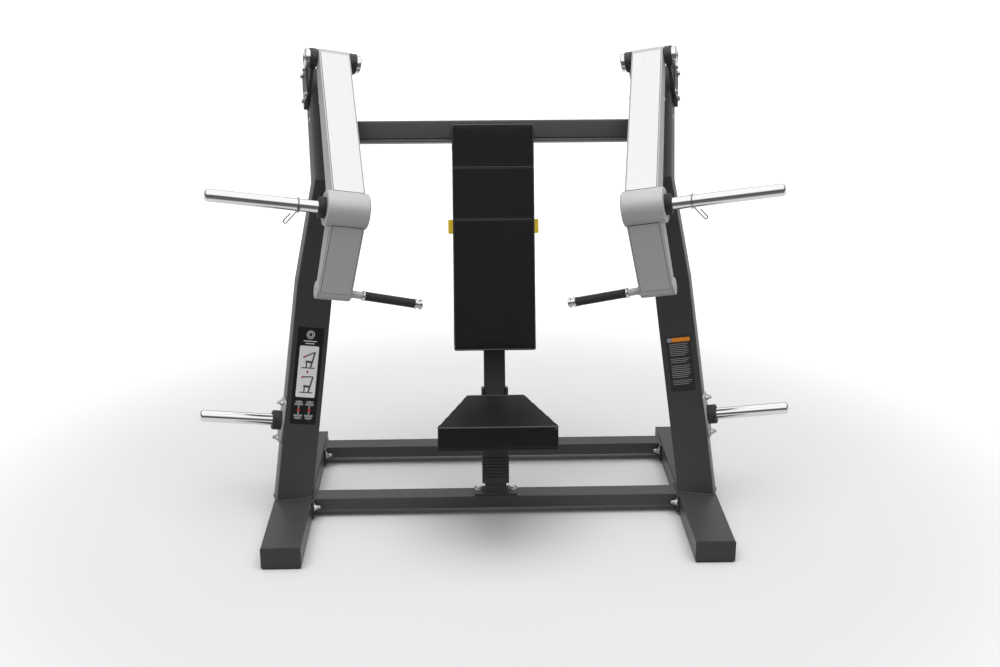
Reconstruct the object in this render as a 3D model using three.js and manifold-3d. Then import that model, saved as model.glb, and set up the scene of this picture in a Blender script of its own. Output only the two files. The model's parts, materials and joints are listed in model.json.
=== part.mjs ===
// Plate-loaded incline press: two yawed side frames, two swinging arms, an adjustable seat and back pad.
// Millimetres, +Z up, floor at Z = 0, the user faces -Y. The object is symmetric about X = 0.
import * as THREE from "three";
import { mergeVertices } from "three/addons/utils/BufferGeometryUtils.js";
import Module from "manifold-3d";

const wasm = await Module();
wasm.setup();

const deg = Math.PI / 180;
const gap = 0.3; // between pieces that rest on each other

// ---- driving dimensions -------------------------------------------------------------------------

// The rectangular tube used for the rails and the uprights.
const tubeWidth = 140;
const tubeDepth = 75;
const tubeCorner = 5;

// Base: rails run front to back, cross tubes run side to side.
const railOuterX = 828;
const railLength = 1067;
const footHeight = 5;
const railTop = footHeight + tubeDepth;
const railInnerX = railOuterX - tubeWidth;
const railCentreX = railOuterX - tubeWidth / 2;
const capLength = 9;
const crossDepth = 80;
const crossHeight = 48;
const crossCorner = 4;
const crossTopZ = 78;
const frontCrossY = 408;
const rearCrossY = 898;
const flangeThickness = 8;
const flangeReach = 26;
const flangeHeight = 66;

// Side frame: a flat assembly turned inwards about Z (yaw), then leaned inwards (tilt).
// Its own frame has X across, Y to the back, Z up, and its origin on the arm's pivot.
const yaw = 15.6 * deg;
const tilt = 10.3 * deg;
const pivot = new THREE.Vector3(590, 876, 1637);
const uprightWidth = 134;
const uprightDepth = 70;
const footPoint = { y: -383, z: -1600 };
const lowerKink = { y: -219, z: -797 };
const upperKink = { y: -281, z: -404 };
const upperLean = 49 * deg;
const upperLength = 485;
const stopBlockSize = { width: 60, height: 46, thickness: 18, corner: 5, along: 90 };

// Pivot.
const housingRadius = 38;
const housingNear = 62;
const housingFar = 88;
const bracketThickness = 12;
const bracketHalf = 33;
const bracketBelow = -118;
const bracketAbove = 52;
const axleRadius = 15;
const runningGap = 0.4;
const capRadius = 33;
const capThickness = 17;

// Arm, in its own frame: Z runs up the arm to the pivot, Y to its back.
const armLean = 53.8 * deg;
const armWidth = 118;
const armFront = 43;
const armBackAtPivot = 30;
const armBackAtHub = 40;
const armEdge = 5;
const hubDistance = 743;
const hubForward = 8.5;
const hubRadius = 62;
const hubOutward = 81;
const hubInward = 67;
const collarRadius = 37;
const collarThickness = 22;
const hornRadius = 21.5;
const hornLength = 380;

// Lower arm and handle, in a frame on the hub's axis.
const lowerLean = 7.3 * deg;
const lowerLength = 300;
const lowerEndRadius = 31;
const lowerFrontAtHub = 46;
const lowerBackAtHub = 60;
const handleDroop = 3.9 * deg;
const stubRadius = 13;
const stubLength = 40;
const ringRadius = 18;
const ringLength = 11;
const gripRadius = 16;
const gripLength = 182;
const barRadius = 12;
const endCapLength = 28;
const clip = { distance: 175, wire: 2, pitch: 5.2, turns: 1.2, handle: 56, lean: 35 * deg, bend: 6 };

// Storage horns on the outer sides of the uprights.
const storageZ = -1305;
const storagePlate = { height: 166, width: 62, thickness: 8 };
const storageCollarRadius = 36;
const storageCollarLength = 32;
const storageHornLength = 265;

// Spine, seat and back pad, in a frame on the foot of the spine that leans back.
const recline = 16.5 * deg;
const spineFoot = new THREE.Vector3(0, 428, crossTopZ);
const spineWidth = 80;
const spineDepth = 76;
const spinePlate = { width: 160, depth: 70, thickness: 8 };
const spineTop = 1385;
const topCross = { depth: 70, height: 80, centre: 1354, corner: 9 };
const carriage = { bottom: 41, top: 400, wall: 9, running: 1.2, notch: 60 };
const seat = {
  frontY: 50,
  frontZ: 503,
  slope: 3.4 * deg,
  length: 373,
  frontWidth: 422,
  backWidth: 212,
  thickness: 88,
  corner: 7,
};
const seatBoard = { halfWidth: 80, inset: 60, thickness: 6 };
const seatWeb = { centre: 34, thickness: 10, depth: 90 };
const backPad = { front: -145, bottom: 545, height: 826, width: 302, thickness: 62, corner: 9 };
const backPlate = { width: 210, inset: 75, drop: 20, thickness: 6, corner: 20 };
const cheek = { outer: 54, inner: 47.5, height: 96, back: 60 };
const ear = { x: 90, thickness: 8, halfHeight: 16, behindRod: 12 };
const backTravel = 50;
const guidePinRadius = 9;
const guidePinZ = [720, 1150];
const leverZ = backPad.bottom + 457;
const lever = { y: -66, rodRadius: 6, reach: 167, paddleWidth: 24, paddleHeight: 52, paddleDepth: 14 };
const pullPin = { radius: 8, z: 200, reach: 16, knobRadius: 22, knobLength: 26 };
const grooves = { count: 7, first: 22, pitch: 12, width: 5, depth: 5 };

// ---- materials ----------------------------------------------------------------------------------

const finish = (color, roughness, metalness) =>
  new THREE.MeshStandardMaterial({ color, roughness, metalness });
const powderCoat = finish("#3a3b3d", 0.5, 0.35);
const silverPaint = finish("#b9bbbd", 0.38, 0.6);
const chrome = finish("#e4e6e8", 0.12, 1);
const blackRubber = finish("#1d1d1e", 0.85, 0);
const blackPlastic = finish("#262728", 0.6, 0);
const vinyl = finish("#262627", 0.55, 0);
const yellowPlastic = finish("#d8b21c", 0.45, 0);
const zincSteel = finish("#9fa2a5", 0.3, 0.9);

// ---- helpers ------------------------------------------------------------------------------------

// A closed geometry as a manifold-3d solid.
function solid(geometry) {
  const bare = geometry.clone();
  bare.deleteAttribute("normal");
  bare.deleteAttribute("uv");
  const merged = mergeVertices(bare, 1e-3);
  return new wasm.Manifold(
    new wasm.Mesh({
      numProp: 3,
      vertProperties: new Float32Array(merged.attributes.position.array),
      triVerts: new Uint32Array(merged.index.array),
    }),
  );
}

// A manifold-3d solid as a three.js geometry.
function geometryOf(body) {
  const mesh = body.getMesh();
  const geometry = new THREE.BufferGeometry()
    .setAttribute("position", new THREE.BufferAttribute(mesh.vertProperties.slice(), 3))
    .setIndex(new THREE.BufferAttribute(mesh.triVerts.slice(), 1));
  geometry.computeVertexNormals();
  return geometry;
}

function named(name, geometry, material) {
  const mesh = new THREE.Mesh(geometry, material);
  mesh.name = name;
  return mesh;
}

// A box from its least to its greatest corner.
function box(min, max) {
  const geometry = new THREE.BoxGeometry(max[0] - min[0], max[1] - min[1], max[2] - min[2]);
  return geometry.translate((min[0] + max[0]) / 2, (min[1] + max[1]) / 2, (min[2] + max[2]) / 2);
}

// A solid of revolution about Z. Each profile point is [radius, z], from the bottom to the top.
function turned(profile, segments = 28) {
  const points = profile.map(([radius, z]) => new THREE.Vector2(radius, z));
  return new THREE.LatheGeometry(points, segments).rotateX(Math.PI / 2);
}

// A cylinder along Z, from z0 to z1.
const rod = (radius, z0, z1, segments = 28) =>
  turned([[0, z0], [radius, z0], [radius, z1], [0, z1]], segments);

// A ring about Z whose two outer rims are cut back by the given edges.
function ring(hole, radius, z0, z1, edge0, edge1, segments = 28) {
  const outline = [[hole, z0], [radius - edge0, z0], [radius, z0 + edge0], [radius, z1 - edge1]];
  outline.push([radius - edge1, z1], [hole, z1], [hole, z0]);
  const moved = (point, i) => i === 0 || point.some((value, k) => value !== outline[i - 1][k]);
  const distinct = outline.filter(moved);
  return turned(distinct, segments);
}

// A rectangle with rounded corners, centred on the origin.
function roundedRectangle(width, height, corner) {
  const x = width / 2;
  const y = height / 2;
  const shape = new THREE.Shape();
  shape.moveTo(x, y - corner);
  shape.absarc(x - corner, y - corner, corner, 0, Math.PI / 2);
  shape.absarc(corner - x, y - corner, corner, Math.PI / 2, Math.PI);
  shape.absarc(corner - x, corner - y, corner, Math.PI, 1.5 * Math.PI);
  shape.absarc(x - corner, corner - y, corner, 1.5 * Math.PI, 2 * Math.PI);
  return shape;
}

// A bar of a given shape along Z, from z0 to z1.
function extruded(shape, z0, z1, curveSegments = 2) {
  const geometry = new THREE.ExtrudeGeometry(shape, { depth: z1 - z0, bevelEnabled: false, curveSegments });
  return geometry.translate(0, 0, z0);
}

// A plate with rounded edges whose outline is drawn in the Y-Z plane, between x0 and x1.
function sidePlate(outline, x0, x1, edge = 0, curveSegments = 7) {
  const geometry = new THREE.ExtrudeGeometry(outline, {
    depth: x1 - x0 - 2 * edge,
    bevelEnabled: edge > 0,
    bevelThickness: edge,
    bevelSize: edge,
    bevelOffset: -edge,
    bevelSegments: 2,
    curveSegments,
  });
  // The outline's own x and y become Y and Z, and its depth becomes X.
  const turn = new THREE.Matrix4().makeBasis(
    new THREE.Vector3(0, 1, 0),
    new THREE.Vector3(0, 0, 1),
    new THREE.Vector3(1, 0, 0),
  );
  return geometry.applyMatrix4(turn).translate(x0 + edge, 0, 0);
}

function outlineOf(points) {
  return new THREE.Shape(points.map(([x, y]) => new THREE.Vector2(x, y)));
}

const side = (s) => (s < 0 ? "left" : "right");

// ---- base ---------------------------------------------------------------------------------------

function baseRail(s) {
  const length = railLength - 2 * (capLength + gap);
  const bar = extruded(roundedRectangle(tubeWidth, tubeDepth, tubeCorner), -length / 2, length / 2);
  const mesh = named(`${side(s)}_base_rail`, bar, powderCoat);
  mesh.rotation.x = Math.PI / 2;
  mesh.position.set(s * railCentreX, railLength / 2, footHeight + tubeDepth / 2);
  return mesh;
}

function railCap(s, end) {
  const cap = extruded(roundedRectangle(tubeWidth, tubeDepth, tubeCorner), -capLength / 2, capLength / 2);
  const mesh = named(`${side(s)}_rail_cap_${end}`, cap, blackPlastic);
  mesh.rotation.x = Math.PI / 2;
  const y = end === "front" ? capLength / 2 : railLength - capLength / 2;
  mesh.position.set(s * railCentreX, y, footHeight + tubeDepth / 2);
  return mesh;
}

function footStrip(s) {
  const inset = 6;
  const strip = box(
    [-tubeWidth / 2 + inset, inset, 0],
    [tubeWidth / 2 - inset, railLength - inset, footHeight - gap],
  );
  const mesh = named(`${side(s)}_foot_strip`, strip, blackRubber);
  mesh.position.x = s * railCentreX;
  return mesh;
}

// A flat tube between the rails, with a bolting flange at each end.
function baseCrossTube(name, frontY) {
  const innerX = railInnerX - gap;
  const tubeHalf = innerX - flangeThickness / 2;
  const tube = sidePlate(roundedRectangle(crossDepth, crossHeight, crossCorner), -tubeHalf, tubeHalf, 0, 2)
    .translate(0, frontY + crossDepth / 2, crossTopZ - crossHeight / 2);
  let body = solid(tube);
  for (const s of [-1, 1]) {
    const nearX = innerX - flangeThickness;
    const flange = box(
      [s < 0 ? -innerX : nearX, frontY - flangeReach, crossTopZ - flangeHeight],
      [s < 0 ? -nearX : innerX, frontY + crossDepth + flangeReach, crossTopZ - 2],
    );
    body = body.add(solid(flange));
  }
  return named(name, geometryOf(body), powderCoat);
}

// ---- side frames --------------------------------------------------------------------------------

// The group every piece of one side hangs in. Its origin is the pivot.
function sideFrame(s) {
  const group = new THREE.Group();
  group.position.set(s * pivot.x, pivot.y, pivot.z);
  group.rotation.set(0, -s * tilt, -s * yaw, "ZYX");
  group.updateMatrixWorld(true);
  return group;
}

const upperDirection = { y: Math.sin(upperLean), z: Math.cos(upperLean) };
const upperTop = {
  y: upperKink.y + upperLength * upperDirection.y,
  z: upperKink.z + upperLength * upperDirection.z,
};

// A length of upright from a to b, cut at each end on a line that leaves it at a given lean.
function uprightLength(a, b, cutA, cutB) {
  const reach = 120;
  const length = Math.hypot(b.y - a.y, b.z - a.z);
  const lean = Math.atan2(b.y - a.y, b.z - a.z);
  const bar = extruded(roundedRectangle(uprightWidth, uprightDepth, tubeCorner), -reach, length + reach)
    .rotateX(-lean)
    .translate(0, a.y, a.z);
  const big = 600;
  const lap = 0.2; // neighbouring lengths run into each other by this much, so that they join
  const below = solid(box([-big, -big, -big], [big, big, -lap]).rotateX(-cutA).translate(0, a.y, a.z));
  const above = solid(box([-big, -big, lap], [big, big, big]).rotateX(-cutB).translate(0, b.y, b.z));
  return solid(bar).subtract(below).subtract(above);
}

function upright(s, frame) {
  const leanOf = (a, b) => Math.atan2(b.y - a.y, b.z - a.z);
  const lowerLeanAngle = leanOf(footPoint, lowerKink);
  const middleLean = leanOf(lowerKink, upperKink);
  const lowerMitre = (lowerLeanAngle + middleLean) / 2;
  const upperMitre = (middleLean + upperLean) / 2;
  let body = uprightLength(footPoint, lowerKink, lowerLeanAngle, lowerMitre)
    .add(uprightLength(lowerKink, upperKink, lowerMitre, upperMitre))
    .add(uprightLength(upperKink, upperTop, upperMitre, upperLean));
  // The foot is cut level, just above the rail.
  const big = 900;
  const underRail = solid(
    box([-big, -big, -big], [big, big, railTop + gap])
      .translate(s * railCentreX, 0, 0)
      .applyMatrix4(frame.matrixWorld.clone().invert()),
  );
  body = body.subtract(underRail);
  return named(`${side(s)}_upright`, geometryOf(body), powderCoat);
}

// A cheek plate from the top of the upright to a bearing housing on the pivot.
function pivotBracket(s, outward) {
  const place = outward ? "outer" : "inner";
  const towards = outward ? s : -s;
  // A place given along the upper tube and square to it, from the pivot.
  const along = (t, n) => [
    t * upperDirection.y - n * upperDirection.z,
    t * upperDirection.z + n * upperDirection.y,
  ];
  const tubeCentre = upperTop.z * upperDirection.y - upperTop.y * upperDirection.z;
  const shoulder = tubeCentre + bracketHalf * 0.6;
  const neck = housingRadius * 0.94;
  const corners = [
    along(bracketBelow, tubeCentre - bracketHalf),
    along(bracketAbove, tubeCentre - bracketHalf),
    along(bracketAbove, shoulder),
    along(neck, -bracketThickness),
    along(-neck, -bracketThickness),
    along(bracketBelow, shoulder),
  ];
  const nearX = uprightWidth / 2 + gap;
  const farX = nearX + bracketThickness;
  const plate = sidePlate(outlineOf(corners), nearX, farX);
  const housing = rod(housingRadius, housingNear, housingFar).rotateY(Math.PI / 2);
  const bore = rod(axleRadius + runningGap, 0, 2 * housingFar).rotateY(Math.PI / 2);
  const body = solid(plate).add(solid(housing)).subtract(solid(bore));
  const geometry = geometryOf(towards < 0 ? body.mirror([1, 0, 0]) : body);
  return named(`${side(s)}_pivot_bracket_${place}`, geometry, blackPlastic);
}

// A rubber block on the front of the upright, which the arm rests against.
function stopBlock(s) {
  const { width, height, thickness, corner, along } = stopBlockSize;
  const frontFace = uprightDepth / 2 + gap;
  const block = extruded(roundedRectangle(width, height, corner), 0, thickness)
    .rotateX(Math.PI / 2)
    .translate(0, -frontFace, 0);
  const mesh = named(`${side(s)}_stop_block`, block, blackRubber);
  mesh.rotation.x = -upperLean;
  mesh.position.set(0, upperKink.y + along * upperDirection.y, upperKink.z + along * upperDirection.z);
  return mesh;
}

// ---- storage horns ------------------------------------------------------------------------------

// Moves a piece whose axis is Z onto the storage horn's axis, pointing away from the machine.
function onStorageAxis(s, mesh) {
  const climb = (storageZ - footPoint.z) / (lowerKink.z - footPoint.z);
  mesh.rotation.y = (s * Math.PI) / 2;
  mesh.position.set(
    s * (uprightWidth / 2 + gap),
    footPoint.y + climb * (lowerKink.y - footPoint.y),
    storageZ,
  );
  return mesh;
}

function storagePlatePiece(s) {
  const { height, width, thickness } = storagePlate;
  // Across the plate's own X runs the height, because the plate's Z points out sideways.
  const plate = extruded(roundedRectangle(height, width, 8), 0, thickness);
  return onStorageAxis(s, named(`${side(s)}_storage_plate`, plate, powderCoat));
}

function storageCollar(s) {
  const start = storagePlate.thickness + gap;
  const collar = ring(hornRadius + gap, storageCollarRadius, start, start + storageCollarLength, 0, 4);
  return onStorageAxis(s, named(`${side(s)}_storage_collar`, collar, blackRubber));
}

// A round horn with a domed tip, from z0 for the given length.
function hornShape(z0, length) {
  const dome = 12;
  const tip = z0 + length;
  const profile = [[0, z0], [hornRadius, z0], [hornRadius, tip - dome]];
  const steps = 3;
  for (let i = 1; i <= steps; i++) {
    const angle = (i / steps) * (Math.PI / 2);
    profile.push([hornRadius * Math.cos(angle), tip - dome + dome * Math.sin(angle)]);
  }
  profile[profile.length - 1][0] = 0;
  return turned(profile, 28);
}

function storageHorn(s) {
  const horn = hornShape(storagePlate.thickness + gap, storageCollarLength + storageHornLength);
  return onStorageAxis(s, named(`${side(s)}_storage_horn`, horn, chrome));
}

// ---- swinging arms ------------------------------------------------------------------------------

// Turns a solid whose axis is Z so that it points outwards along X.
const outwards = (s, geometry) => geometry.rotateY((s * Math.PI) / 2);

function pivotAxle(s) {
  const reach = housingFar + gap;
  const profile = [
    [0, -reach],
    [axleRadius, -reach],
    [axleRadius, reach],
    [capRadius, reach],
    [capRadius, reach + capThickness - 4],
    [capRadius - 4, reach + capThickness],
    [0, reach + capThickness],
  ];
  return named(`${side(s)}_pivot_axle`, outwards(s, turned(profile, 28)), chrome);
}

function pivotEndCap(s) {
  const start = housingFar + 2 * gap;
  const profile = [
    [0, start],
    [capRadius, start],
    [capRadius, start + capThickness - 4],
    [capRadius - 4, start + capThickness],
    [0, start + capThickness],
  ];
  return named(`${side(s)}_pivot_end_cap`, outwards(-s, turned(profile, 28)), chrome);
}

// The box beam from the pivot to the hub, with a rounded top.
function upperArm(s) {
  const outline = new THREE.Shape();
  outline.moveTo(-armFront, 0);
  outline.absarc(armBackAtPivot - armFront, 0, armBackAtPivot, Math.PI, 0, true);
  outline.lineTo(armBackAtHub, -hubDistance);
  outline.lineTo(-armFront, -hubDistance);
  const beam = sidePlate(outline, -armWidth / 2, armWidth / 2, armEdge);
  const hubRoom = rod(hubRadius + gap, -armWidth, armWidth, 40)
    .rotateY(Math.PI / 2)
    .translate(0, -hubForward, -hubDistance);
  const below = box([-armWidth, -300, -hubDistance - 200], [armWidth, 300, -hubDistance]);
  const bore = rod(axleRadius + gap, -armWidth, armWidth, 28).rotateY(Math.PI / 2);
  const body = solid(beam).subtract(solid(hubRoom)).subtract(solid(below)).subtract(solid(bore));
  return named(`${side(s)}_upper_arm`, geometryOf(body), silverPaint);
}

function armHub(s) {
  const edge = 5;
  const profile = [
    [0, -hubInward],
    [hubRadius - edge, -hubInward],
    [hubRadius - edge * 0.3, -hubInward + edge * 0.3],
    [hubRadius, -hubInward + edge],
    [hubRadius, hubOutward - edge],
    [hubRadius - edge * 0.3, hubOutward - edge * 0.3],
    [hubRadius - edge, hubOutward],
    [0, hubOutward],
  ];
  return named(`${side(s)}_arm_hub`, outwards(s, turned(profile, 40)), silverPaint);
}

function hubCollar(s) {
  const start = hubOutward + gap;
  const collar = ring(hornRadius + gap, collarRadius, start, start + collarThickness, 0, 3);
  return named(`${side(s)}_hub_collar`, outwards(s, collar), blackRubber);
}

function weightHorn(s) {
  const horn = hornShape(hubOutward + gap, collarThickness + hornLength);
  return named(`${side(s)}_weight_horn`, outwards(s, horn), chrome);
}

// The tapered box below the hub. Its end is rounded about the handle's axis.
function lowerArm(s) {
  const outline = new THREE.Shape();
  const end = lowerEndRadius;
  outline.moveTo(-lowerFrontAtHub, 0);
  outline.lineTo(-end, -lowerLength);
  outline.absarc(0, -lowerLength, end, Math.PI, 2 * Math.PI);
  outline.lineTo(lowerBackAtHub, 0);
  const beam = sidePlate(outline, -armWidth / 2, armWidth / 2, armEdge);
  const hubRoom = rod(hubRadius + gap, -armWidth, armWidth, 40).rotateY(Math.PI / 2);
  const above = box([-armWidth, -200, 0], [armWidth, 200, 200]);
  const body = solid(beam).subtract(solid(hubRoom)).subtract(solid(above));
  return named(`${side(s)}_lower_arm`, geometryOf(body), silverPaint);
}

// A disc over the outer end of the handle's boss.
function bossCap(s) {
  const start = armWidth / 2 + gap;
  const end = start + 6;
  const edge = 3;
  const radius = lowerEndRadius;
  const disc = turned([[0, start], [radius, start], [radius, end - edge], [radius - edge, end], [0, end]]);
  return named(`${side(s)}_boss_cap`, outwards(s, disc), silverPaint);
}

// The handle in its own frame, where Z points along the grip, away from the arm.
function handlePieces(s) {
  const start = armWidth / 2 + 3;
  const ringStart = start + stubLength;
  const gripStart = ringStart + ringLength;
  const gripEnd = gripStart + gripLength;
  const end = gripEnd + endCapLength;
  const stubEnd = ringStart - gap;
  const barEnd = end - 6;
  const stub = [[0, start], [stubRadius, start], [stubRadius, stubEnd]];
  const bar = turned([...stub, [barRadius, stubEnd], [barRadius, barEnd], [0, barEnd]], 20);
  const hole = barRadius + gap;
  const cap = turned(
    [
      [hole, gripEnd + gap],
      [ringRadius, gripEnd + gap],
      [ringRadius, gripEnd + 9],
      [ringRadius - 4, gripEnd + 11],
      [ringRadius - 4, end - 11],
      [ringRadius, end - 9],
      [ringRadius, end - 2],
      [ringRadius - 2, end],
      [0, end],
      [0, end - 5],
      [hole, end - 5],
      [hole, gripEnd + gap],
    ],
    20,
  );
  return [
    named(`${side(s)}_handle_bar`, bar, zincSteel),
    named(`${side(s)}_handle_ring`, ring(hole, ringRadius, ringStart, gripStart - gap, 2, 2, 20), chrome),
    named(`${side(s)}_handle_grip`, ring(hole, gripRadius, gripStart, gripEnd, 2, 2, 20), blackRubber),
    named(`${side(s)}_handle_end_cap`, cap, chrome),
  ];
}

// A wire clip round the horn, seen along it. Its squeeze handle is a hairpin that hangs down and outwards.
function springClip(s) {
  const { wire, pitch, turns, handle, lean, bend } = clip;
  const loop = hornRadius + wire + 0.6;
  const out = new THREE.Vector3(0, -Math.cos(lean), Math.sin(lean));
  const across = new THREE.Vector3(0, Math.sin(lean), Math.cos(lean));
  const root = new THREE.Vector3(0, -loop, 0);
  const hairpin = (along, beside) => root.clone().addScaledVector(out, along).addScaledVector(across, beside);
  const points = [hairpin(0.35 * handle, 2 * bend), hairpin(handle - bend, 2 * bend)];
  points.push(hairpin(handle, bend), hairpin(handle - bend, 0), hairpin(0.35 * handle, 0));
  const steps = 22;
  for (let i = 0; i <= steps; i++) {
    const turn = (i / steps) * turns;
    const angle = -Math.PI / 2 + turn * 2 * Math.PI;
    points.push(new THREE.Vector3(Math.cos(angle) * loop, Math.sin(angle) * loop, -turn * pitch));
  }
  const path = new THREE.CatmullRomCurve3(points, false, "centripetal");
  const section = new THREE.Shape().absarc(0, 0, wire, 0, 2 * Math.PI);
  const geometry = new THREE.ExtrudeGeometry(section, { steps: 56, extrudePath: path, curveSegments: 3 });
  // The hairpin hangs below the horn: the path's own -Y becomes down.
  geometry.rotateZ(s * Math.PI / 2);
  return named(`${side(s)}_spring_clip`, outwards(s, geometry), chrome);
}

function swingingArm(s) {
  const arm = new THREE.Group();
  arm.rotation.x = -armLean;
  const hub = new THREE.Group();
  hub.position.set(0, -hubForward, -hubDistance);
  hub.rotation.x = armLean + lowerLean;
  const wireClip = springClip(s);
  wireClip.position.x = s * clip.distance;
  hub.add(armHub(s), hubCollar(s), weightHorn(s), lowerArm(s), wireClip);
  const boss = new THREE.Group();
  boss.position.z = -lowerLength;
  const handle = new THREE.Group();
  handle.rotation.y = -s * (Math.PI / 2 + handleDroop);
  handle.add(...handlePieces(s));
  boss.add(bossCap(s), handle);
  hub.add(boss);
  arm.add(pivotAxle(s), pivotEndCap(s), upperArm(s), hub);
  return arm;
}

// ---- spine, seat and back pad -------------------------------------------------------------------

// The group whose Z runs up the reclined spine and whose Y runs to the back.
function spineFrame() {
  const group = new THREE.Group();
  group.position.copy(spineFoot);
  group.rotation.x = -recline;
  group.updateMatrixWorld(true);
  return group;
}

// A tube across the front of the spine, cut at each end along the inner face of an upright.
function topCrossTube(frame) {
  const { depth, height, centre, corner } = topCross;
  const bar = sidePlate(roundedRectangle(depth, height, corner), -pivot.x, pivot.x, 0, 3)
    .translate(0, -depth / 2 - gap, centre)
    .applyMatrix4(frame.matrixWorld);
  let body = solid(bar);
  const big = 2000;
  for (const s of [-1, 1]) {
    const face = -s * (uprightWidth / 2 + gap);
    const beyond = box([s < 0 ? -big : face, -big, -big], [s < 0 ? face : big, big, big]);
    body = body.subtract(solid(beyond.applyMatrix4(sideFrame(s).matrixWorld)));
  }
  return named("top_cross_tube", geometryOf(body), powderCoat);
}

function spinePost(frame) {
  const { width, depth, thickness } = spinePlate;
  const toSpine = frame.matrixWorld.clone().invert();
  const below = 60;
  const tube = extruded(roundedRectangle(spineWidth, spineDepth, tubeCorner), -below, spineTop)
    .translate(0, spineDepth / 2, 0);
  const big = 2000;
  const under = box([-big, -big, -big], [big, big, crossTopZ + gap]).applyMatrix4(toSpine);
  const plateCentre = frontCrossY + crossDepth / 2 + 1;
  const plate = extruded(roundedRectangle(width, depth, 6), 0, thickness)
    .translate(0, plateCentre, crossTopZ + gap)
    .applyMatrix4(toSpine);
  let body = solid(tube).subtract(solid(under)).add(solid(plate));
  const pinReach = cheek.outer + 8;
  for (const z of guidePinZ) {
    const pin = rod(guidePinRadius, -pinReach, pinReach, 24)
      .rotateY(Math.PI / 2)
      .translate(0, spineDepth / 2, z);
    body = body.add(solid(pin));
  }
  return named("spine_post", geometryOf(body), powderCoat);
}

// The sleeve that carries the seat and slides on the spine.
function seatCarriage() {
  const { bottom, top, wall, running, notch } = carriage;
  const innerX = spineWidth / 2 + running;
  const outerX = innerX + wall;
  const innerY0 = -running;
  const innerY1 = spineDepth + running;
  const section = roundedRectangle(2 * outerX, spineDepth + 2 * (running + wall), 6);
  const sleeve = extruded(section, bottom, top).translate(0, spineDepth / 2, 0);
  const passage = box([-innerX, innerY0, bottom - 10], [innerX, innerY1, top + 10]);
  // The front wall stops short of the top, so that the spine shows between two side guides.
  const opening = box([-innerX, -2 * wall, top - notch], [innerX, innerY0 + 1, top + 1]);
  let body = solid(sleeve).subtract(solid(passage)).subtract(solid(opening));
  for (let i = 0; i < grooves.count; i++) {
    const z = bottom + grooves.first + i * grooves.pitch;
    const frontY = innerY0 - wall;
    const cut = box([-outerX - 1, frontY - 1, z], [outerX + 1, frontY + grooves.depth, z + grooves.width]);
    body = body.subtract(solid(cut));
  }
  const pinBore = rod(pullPin.radius + gap, 0, 60, 24)
    .rotateX(-Math.PI / 2)
    .translate(0, innerY1 - 20, pullPin.z);
  return named("seat_carriage", geometryOf(body.subtract(solid(pinBore))), powderCoat);
}

// A spring pin with a knob behind the spine. Pulled back, it frees the carriage.
function seatPullPin() {
  const { radius, z, reach, knobRadius, knobLength } = pullPin;
  const tip = spineDepth + gap;
  const knob = tip + carriage.wall + carriage.running + reach;
  const profile = [
    [0, tip],
    [radius, tip],
    [radius, knob],
    [knobRadius - 2, knob],
    [knobRadius, knob + 3],
    [knobRadius, knob + knobLength - 4],
    [knobRadius - 4, knob + knobLength],
    [0, knob + knobLength],
  ];
  const mesh = named("seat_pull_pin", turned(profile, 24).rotateX(-Math.PI / 2), yellowPlastic);
  mesh.position.z = z;
  return mesh;
}

// Where the seat pad's front top edge is, and how it slopes.
function seatGroup() {
  const group = new THREE.Group();
  group.position.set(0, seat.frontY, seat.frontZ);
  group.rotation.x = -seat.slope;
  group.updateMatrixWorld(true);
  return group;
}

function seatPad() {
  const front = seat.frontWidth / 2;
  const back = seat.backWidth / 2;
  const { corner } = seat;
  const slopeX = (front - back) / seat.length;
  const plan = new THREE.Shape();
  plan.moveTo(-front + corner, 0);
  plan.lineTo(front - corner, 0);
  plan.quadraticCurveTo(front, 0, front - slopeX * corner, corner);
  plan.lineTo(back + slopeX * corner, seat.length - corner);
  plan.quadraticCurveTo(back, seat.length, back - corner, seat.length);
  plan.lineTo(-back + corner, seat.length);
  plan.quadraticCurveTo(-back, seat.length, -back - slopeX * corner, seat.length - corner);
  plan.lineTo(-front + slopeX * corner, corner);
  plan.quadraticCurveTo(-front, 0, -front + corner, 0);
  return named("seat_pad", extruded(plan, -seat.thickness, 0), vinyl);
}

// The steel under the seat pad: a board, and two webs back to the carriage.
function seatBracket(spine, seatFrame) {
  const { halfWidth, inset, thickness } = seatBoard;
  const boardTop = -seat.thickness - gap;
  const boardEnd = seat.length - inset / 3;
  const board = box([-halfWidth, inset, boardTop - thickness], [halfWidth, boardEnd, boardTop]);
  let body = solid(board.applyMatrix4(seatFrame.matrixWorld));
  for (const s of [-1, 1]) {
    const x0 = s * seatWeb.centre - seatWeb.thickness / 2;
    const x1 = x0 + seatWeb.thickness;
    const web = box([x0, 2 * inset, boardTop - seatWeb.depth], [x1, 2 * seat.length, boardTop - 1]);
    body = body.add(solid(web.applyMatrix4(seatFrame.matrixWorld)));
  }
  // The webs taper to the front and end on a foot plate against the carriage.
  const frontFace = -carriage.running - carriage.wall - gap;
  const big = 900;
  const behind = box([-big, frontFace, -big], [big, big, big]).applyMatrix4(spine.matrixWorld);
  const slant = box([-halfWidth, -seat.length, -seat.length], [halfWidth, seat.length / 2, 0])
    .rotateX(-25 * deg)
    .translate(0, 2 * inset, boardTop - 2 * thickness)
    .applyMatrix4(seatFrame.matrixWorld);
  const footHalf = seatWeb.centre + seatWeb.thickness;
  const foot = box([-footHalf, frontFace - 8, 190], [footHalf, frontFace, 330])
    .applyMatrix4(spine.matrixWorld);
  body = body.subtract(solid(slant)).subtract(solid(behind)).add(solid(foot));
  const upToSpine = spine.matrixWorld.clone().invert();
  return named("seat_bracket", geometryOf(body).applyMatrix4(upToSpine), powderCoat);
}

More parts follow.
